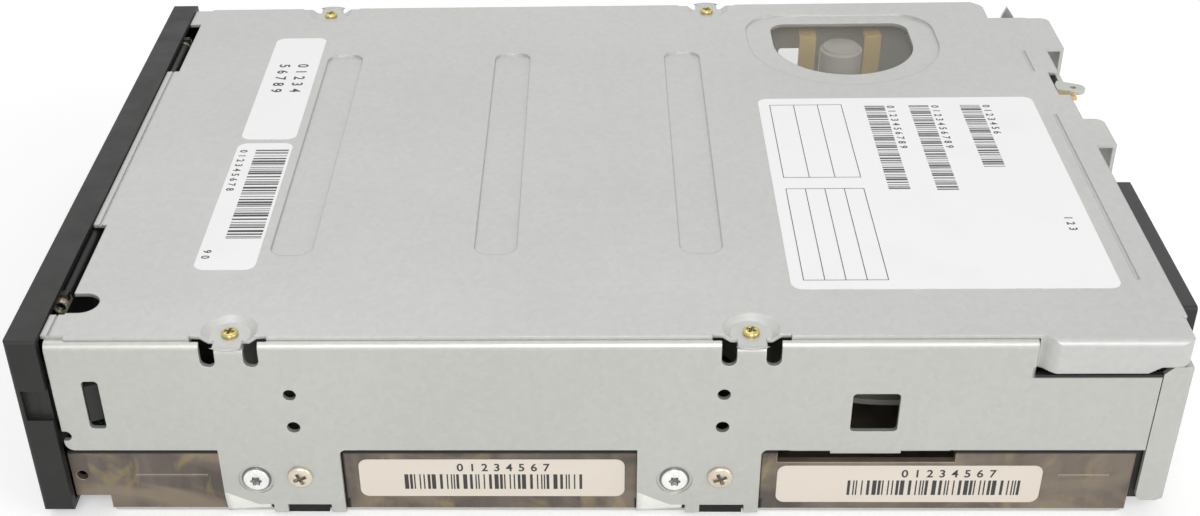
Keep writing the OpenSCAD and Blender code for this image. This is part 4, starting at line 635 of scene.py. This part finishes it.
class TAPE_OT_screws(bpy.types.Operator):
    """Screws of the cover, the side plates' legs and the bottom shield"""
    bl_idname = "tape_drive.screws"
    bl_label = "Screws"

    def execute(self, context):
        cover, stars, crosses = bmesh.new(), bmesh.new(), bmesh.new()
        cover_y, cover_z = 69.6, 40.5
        star_z, cross_z = 9.2, 10.0
        sunk, lean = 0.35, 0.4
        # A flat ring round each star screw's head, in the recess's dark colour: painted shade of the gap
        # round the head.
        ring = [(2.85 * MM, 0), (2.85 * MM, 0.08 * MM)]
        plate = plate_face()
        for _, s in SIDES:
            # The place along the drive, taken as an angle, gives each cover screw a turn of its own.
            for x in COVER_SCREW_X:
                seat = facing(at(x, -s * cover_y, cover_z), (cos(x), sin(x), 0), (-sin(x), cos(x), 0))
                screw(cover, seat, cross(0.95, 0.26), **COVER_SCREW)
            for x in STAR_SCREW_X:
                seat = facing(at(x, s * (plate - sunk), star_z), (-s, 0, 0), (0, 0, 1))
                screw(stars, seat, star(1.15), **STAR_SCREW)
                turned(stars, ring, seat, size("screw_steps"), 1)
            for x in CROSS_SCREW_X:
                seat = facing(at(x, s * plate, cross_z), (-s * cos(lean), 0, sin(lean)),
                              (s * sin(lean), 0, cos(lean)))
                screw(crosses, seat, cross(1.35, 0.36), **CROSS_SCREW)
        gold = turned_metal("yellow_zinc", tint("gold"), (0.2, 0.34))
        bright = turned_metal("bright_zinc", scaled(tint("bright"), 1.25), (0.16, 0.3), metallic=0.8)
        cream = turned_metal("cream_zinc", tint("cream"), (0.26, 0.4), metallic=0.6)
        self.finish("cover_screw_heads", cover, gold, "gold", "cover_screws")
        self.finish("star_screw_heads", stars, bright, "bright", "leg_star_screws")
        self.finish("cross_screw_heads", crosses, cream, "cream", "leg_cross_screws")
        dress(bright, "bottom_screws")
        return {"FINISHED"}

    def finish(self, name, bm, metal, colour_name, node):
        """The screws of one kind, in the place of the frame's own, with painted shade in their recesses.
        """
        # Painted shade: the recesses take the screw's colour at 0.28 of its lightness.
        deep = turned_metal(colour_name + "_recess", scaled(tint(colour_name), 0.28), (0.4, 0.55))
        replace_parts(piece(name, bm, metal, deep), node)


class Label:
    """A paper label under construction. Places on it are shares of its width and height, from its
    middle. Its size is given in mm."""

    def __init__(self, middle, wide, high, corner=1.0):
        self.middle = middle
        self.wide = wide * MM
        self.high = high * MM
        self.bm = bmesh.new()
        outline = rounded(self.wide, self.high, size("label_corner") * corner)
        prism(self.bm, outline, 0, size("label_t"), middle)

    def mark(self, left, right, low, high):
        """A flat printed mark, given in metres from the middle."""
        base = size("label_t")
        prism(self.bm, oblong(left, right, low, high), base, base + size("print_t"), self.middle, 1)

    def bars(self, left, right, low, high, seed, share=1.0):
        """A row of printed bars of three widths, spaced by a plain sum."""
        unit = size("bar_unit") * share
        x, k = left * self.wide, seed
        while x < right * self.wide - 3 * unit:
            wide = unit * (1 + (k * k + k // 2) % 3)
            self.mark(x, x + wide, low * self.high, high * self.high)
            x += wide + unit * (1 + (k * 5 + k // 3 + seed) % 3)
            k += 1

    def digits(self, text, left, low, share):
        """Plain digits in the built-in face, their height a share of the usual one."""
        height = size("digit_h") * share
        curve = bpy.data.curves.new("digits", "FONT")
        curve.body = text
        curve.size = height / 0.7
        curve.offset = height * 0.03
        curve.space_character = 1.15
        holder = bpy.data.objects.new("digits", curve)
        mesh = bpy.data.meshes.new_from_object(holder)
        first_vert, first_face = len(self.bm.verts), len(self.bm.faces)
        self.bm.from_mesh(mesh)
        self.bm.verts.ensure_lookup_table()
        self.bm.faces.ensure_lookup_table()
        corner = Vector((left * self.wide, low * self.high, size("label_t") + size("print_t")))
        for vert in self.bm.verts[first_vert:]:
            vert.co = self.middle @ (corner + Vector((vert.co.x, vert.co.y, 0)))
        for face in self.bm.faces[first_face:]:
            face.material_index = 1
        bpy.data.objects.remove(holder)
        bpy.data.curves.remove(curve)
        bpy.data.meshes.remove(mesh)

    def form(self, left, right, low, high, rows):
        """An empty ruled box with a number of rows, as on a blank form."""
        line = size("bar_unit") * 0.6
        left, right = left * self.wide, right * self.wide
        low, high = low * self.high, high * self.high
        for k in range(rows + 1):
            level = low + (high - low) * k / rows
            self.mark(left, right + line, level, level + line)
        for x in (left, right):
            self.mark(x, x + line, low + line, high)

    def done(self, name, paper, ink):
        """Makes the label a piece of the drive."""
        piece(name, self.bm, paper, ink)


class TAPE_OT_corners(bpy.types.Operator):
    """Turned-in lower corners of the side plates' legs"""
    bl_idname = "tape_drive.corners"
    bl_label = "Leg corners"

    def execute(self, context):
        # The corners take the plates' colour made 1.7 times lighter and nearly plain: a painted highlight
        # where they catch the light.
        work = plated_sheet("corner_sheet", scaled(tint("plate"), 1.7), (0.3, 0.4), metallic=0.1)
        plate = plate_face()
        width, thick = 8.6, 0.3
        proud, turn_in = 0.15, 0.95
        down, along = 8, 6
        for place, s in SIDES:
            for k, start in enumerate(LEG_STARTS):
                bm = bmesh.new()
                rows = []
                for n in range(down + 1):
                    share = n / down
                    side = s * (plate - proud - turn_in * (1 - cos(share * pi / 2)))
                    left = Vector((start, side, 6.6 - 5.8 * share))
                    right = Vector((start + width, side, 3.1 - 1.5 * share))
                    rows.append([bm.verts.new(at(*left.lerp(right, m / along))) for m in range(along + 1)])
                for one, two in zip(rows, rows[1:]):
                    for m in range(along):
                        bm.faces.new((one[m], one[m + 1], two[m + 1], two[m]))
                for face in bm.faces:
                    face.smooth = True
                corner = piece("leg_corner_%s_%d" % (place, k + 1), bm, work)
                sheet = corner.modifiers.new("thickness", "SOLIDIFY")
                sheet.thickness = thick * MM
                sheet.offset = 0
        return {"FINISHED"}


class TAPE_OT_labels(bpy.types.Operator):
    """Paper labels on the cover and the base, with plain bars and digits"""
    bl_idname = "tape_drive.labels"
    bl_label = "Labels"

    def execute(self, context):
        white = printed("white_paper", tint("paper"))
        cream = printed("cream_paper", tint("side_paper"))
        ink = printed("label_ink", tint("ink"), (0.35, 0.5))
        label = self.on_cover(23.5, 35.6, 2.8, 54.3)
        label.digits("0 1 2 3 4", -0.22, 0.1, 1.1)
        label.digits("5 6 7 8 9", -0.22, -0.26, 1.1)
        label.done("label_top_far", white, ink)
        label = self.on_cover(23.5, 35.5, -49.5, 1.0)
        label.bars(-0.44, 0.29, -0.14, 0.45, seed=3)
        label.digits("0 1 2 3 4 5 6 7 8", -0.44, -0.42, 0.7)
        label.digits("9 0", 0.36, -0.42, 0.7)
        label.done("label_top_near", white, ink)
        label = self.on_cover(136.7, 197.1, -57, 20)
        self.numbered_bars(label, 0.265, -0.08, "0 1 2 3 4 5 6", seed=5)
        self.numbered_bars(label, 0.08, 0.04, "0 1 2 3 4 5 6 7 8 9", seed=9)
        self.numbered_bars(label, -0.08, 0.04, "0 1 2 3 4 5 6 7 8 9", seed=13)
        label.digits("1 2 3", 0.17, 0.42, 0.7)
        label.form(-0.46, -0.04, -0.46, -0.2, rows=3)
        label.form(0.02, 0.46, -0.46, -0.2, rows=4)
        label.done("label_main", white, ink)
        for name, s in SIDES:
            front = self.on_base(s, 55.5, 105.9, 4, 13)
            rear = self.on_base(s, 134.6, 184, 2.6, 11.5)
            if name == "near":
                front.bars(-0.33, 0.35, -0.30, 0.10, seed=2)
                front.digits("0 1 2 3 4 5 6 7", -0.13, 0.19, 0.8)
                rear.bars(-0.23, 0.45, -0.30, 0.10, seed=3)
                rear.digits("0 1 2 3 4 5 6 7", -0.03, 0.19, 0.8)
            front.done("label_%s_1" % name, cream, ink)
            rear.done("label_%s_2" % name, cream, ink)
        return {"FINISHED"}

    def on_cover(self, x0, x1, y0, y1):
        """A label on the cover, read from the left side of the drive. Its edges are places in mm."""
        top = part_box("top_cover")[1][2] / MM
        middle = facing(at((x0 + x1) / 2, (y0 + y1) / 2, top), (0, -1, 0), (1, 0, 0))
        return Label(middle, y1 - y0, x1 - x0)

    def on_base(self, s, x0, x1, z0, z1):
        """A label on a side wall of the base. Its edges are places in mm."""
        wall = 71.5
        middle = facing(at((x0 + x1) / 2, s * wall, (z0 + z1) / 2), (-s, 0, 0), (0, 0, 1))
        return Label(middle, x1 - x0, z1 - z0, corner=0.8)

    def numbered_bars(self, label, level, end, text, seed):
        """A narrow row of bars with digits over it."""
        left, half = -0.45, 0.036
        label.bars(left, end, level - half, level + half, seed, share=0.8)
        label.digits(text, left, level + half + 0.01, 0.7)


class TAPE_OT_stage(bpy.types.Operator):
    """Floor, world, lamps and camera"""
    bl_idname = "tape_drive.stage"
    bl_label = "Stage"

    def execute(self, context):
        scene = context.scene
        self.floor(scene)
        self.surroundings(scene)
        self.lamp(scene, "key", (-0.3, 0.5, 1.6), width=1.2, power=5.0)
        self.lamp(scene, "side", (1.2, -0.7, 0.6), width=0.9, power=5.0)
        self.lamp(scene, "front", (0.0, -1.5, 1.2), width=1.0, power=16.0)
        self.camera(scene)
        scene.view_settings.view_transform = "Standard"
        return {"FINISHED"}

    def floor(self, scene):
        """A wide sheet of white paper under the drive."""
        bm = bmesh.new()
        bmesh.ops.create_grid(bm, x_segments=2, y_segments=2, size=4.0)
        mesh = bpy.data.meshes.new("floor")
        bm.to_mesh(mesh)
        bm.free()
        floor = bpy.data.objects.new("floor", mesh)
        floor.location = (0, 0, START_BOX[0][2])
        scene.collection.objects.link(floor)
        paper = Shade("floor_paper")
        paper.set(Roughness=0.85, Emission_Color=(1, 1, 1, 1))
        paper.paint(paper.mix(paper.noise(3, detail=2), (0.80, 0.80, 0.80), (0.82, 0.82, 0.82)))
        paper.link(self.seen(paper.tree, 0.34), paper.shader.inputs["Emission Strength"])
        mesh.materials.append(paper.mat)

    def surroundings(self, scene):
        """A plain white world, brighter where it is seen than where it lights."""
        world = bpy.data.worlds.new("studio")
        scene.world = world
        world.use_nodes = True
        tree = world.node_tree
        tree.nodes.clear()
        out = tree.nodes.new("ShaderNodeOutputWorld")
        plain = tree.nodes.new("ShaderNodeBackground")
        plain.inputs["Color"].default_value = (1, 1, 1, 1)
        tree.links.new(self.seen(tree, 0.6, 0.4), plain.inputs["Strength"])
        tree.links.new(plain.outputs[0], out.inputs["Surface"])

    def lamp(self, scene, name, place, width, power):
        """A square lamp that looks at the middle of the drive's foot."""
        lamp = bpy.data.lights.new(name, "AREA")
        lamp.size = width
        lamp.energy = power
        holder = bpy.data.objects.new(name, lamp)
        holder.location = place
        holder.rotation_euler = (-Vector(place)).to_track_quat("-Z", "Y").to_euler()
        scene.collection.objects.link(holder)

    def seen(self, tree, share, least=0.0):
        """A strength that is higher by a share where the camera looks, straight, by a reflection or
        through glass."""
        rays = tree.nodes.new("ShaderNodeLightPath")
        total = rays.outputs["Is Camera Ray"]
        for name in ("Is Glossy Ray", "Is Transmission Ray"):
            either = tree.nodes.new("ShaderNodeMath")
            either.operation = "MAXIMUM"
            tree.links.new(total, either.inputs[0])
            tree.links.new(rays.outputs[name], either.inputs[1])
            total = either.outputs[0]
        scale = tree.nodes.new("ShaderNodeMath")
        scale.operation = "MULTIPLY_ADD"
        tree.links.new(total, scale.inputs[0])
        scale.inputs[1].default_value = share
        scale.inputs[2].default_value = least
        return scale.outputs[0]

    def camera(self, scene):
        """The photograph's camera, with its lens shifted to the middle of the picture."""
        yaw, pitch, roll = radians(YAW), radians(PITCH), radians(ROLL)
        forward = Vector((sin(yaw) * cos(pitch), cos(yaw) * cos(pitch), -sin(pitch)))
        right = Vector((cos(yaw), -sin(yaw), 0))
        up = right.cross(forward)
        side = right * cos(roll) + up * sin(roll)
        top = up * cos(roll) - right * sin(roll)
        turn = Matrix((side, top, -forward)).transposed()
        lens = bpy.data.cameras.new("camera")
        lens.sensor_width = SENSOR_MM
        lens.lens = FOCAL_PX * SENSOR_MM / PHOTO_W
        lens.shift_x = (PHOTO_W / 2 - CENTRE_PX[0]) / PHOTO_W
        lens.shift_y = (CENTRE_PX[1] - PHOTO_H / 2) / PHOTO_W
        lens.clip_start = 0.01
        camera = bpy.data.objects.new("camera", lens)
        camera.matrix_world = Matrix.Translation(Vector(EYE_MM) * MM) @ turn.to_4x4()
        scene.collection.objects.link(camera)
        scene.camera = camera


class TAPE_PT_panel(bpy.types.Panel):
    """Lists the steps, sizes and colours"""
    bl_label = "Tape drive"
    bl_space_type = "VIEW_3D"
    bl_region_type = "UI"
    bl_category = "Tape drive"

    def draw(self, context):
        for group in (context.scene.tape_colours, context.scene.tape_sizes):
            for name in group.__annotations__:
                self.layout.prop(group, name)
        for step in STEPS:
            self.layout.operator(step.bl_idname)


STEPS = (TAPE_OT_case, TAPE_OT_window, TAPE_OT_front, TAPE_OT_works, TAPE_OT_boards, TAPE_OT_screws,
         TAPE_OT_corners, TAPE_OT_labels, TAPE_OT_stage)
CLASSES = (TapeDriveColours, TapeDriveSizes, *STEPS, TAPE_PT_panel)


def register():
    for item in CLASSES:
        bpy.utils.register_class(item)
    bpy.types.Scene.tape_colours = PointerProperty(type=TapeDriveColours)
    bpy.types.Scene.tape_sizes = PointerProperty(type=TapeDriveSizes)


def unregister():
    del bpy.types.Scene.tape_colours
    del bpy.types.Scene.tape_sizes
    for item in reversed(CLASSES):
        bpy.utils.unregister_class(item)


def main():
    register()
    for step in STEPS:
        group, name = step.bl_idname.split(".")
        getattr(getattr(bpy.ops, group), name)()


if __name__ == "__main__":
    main()
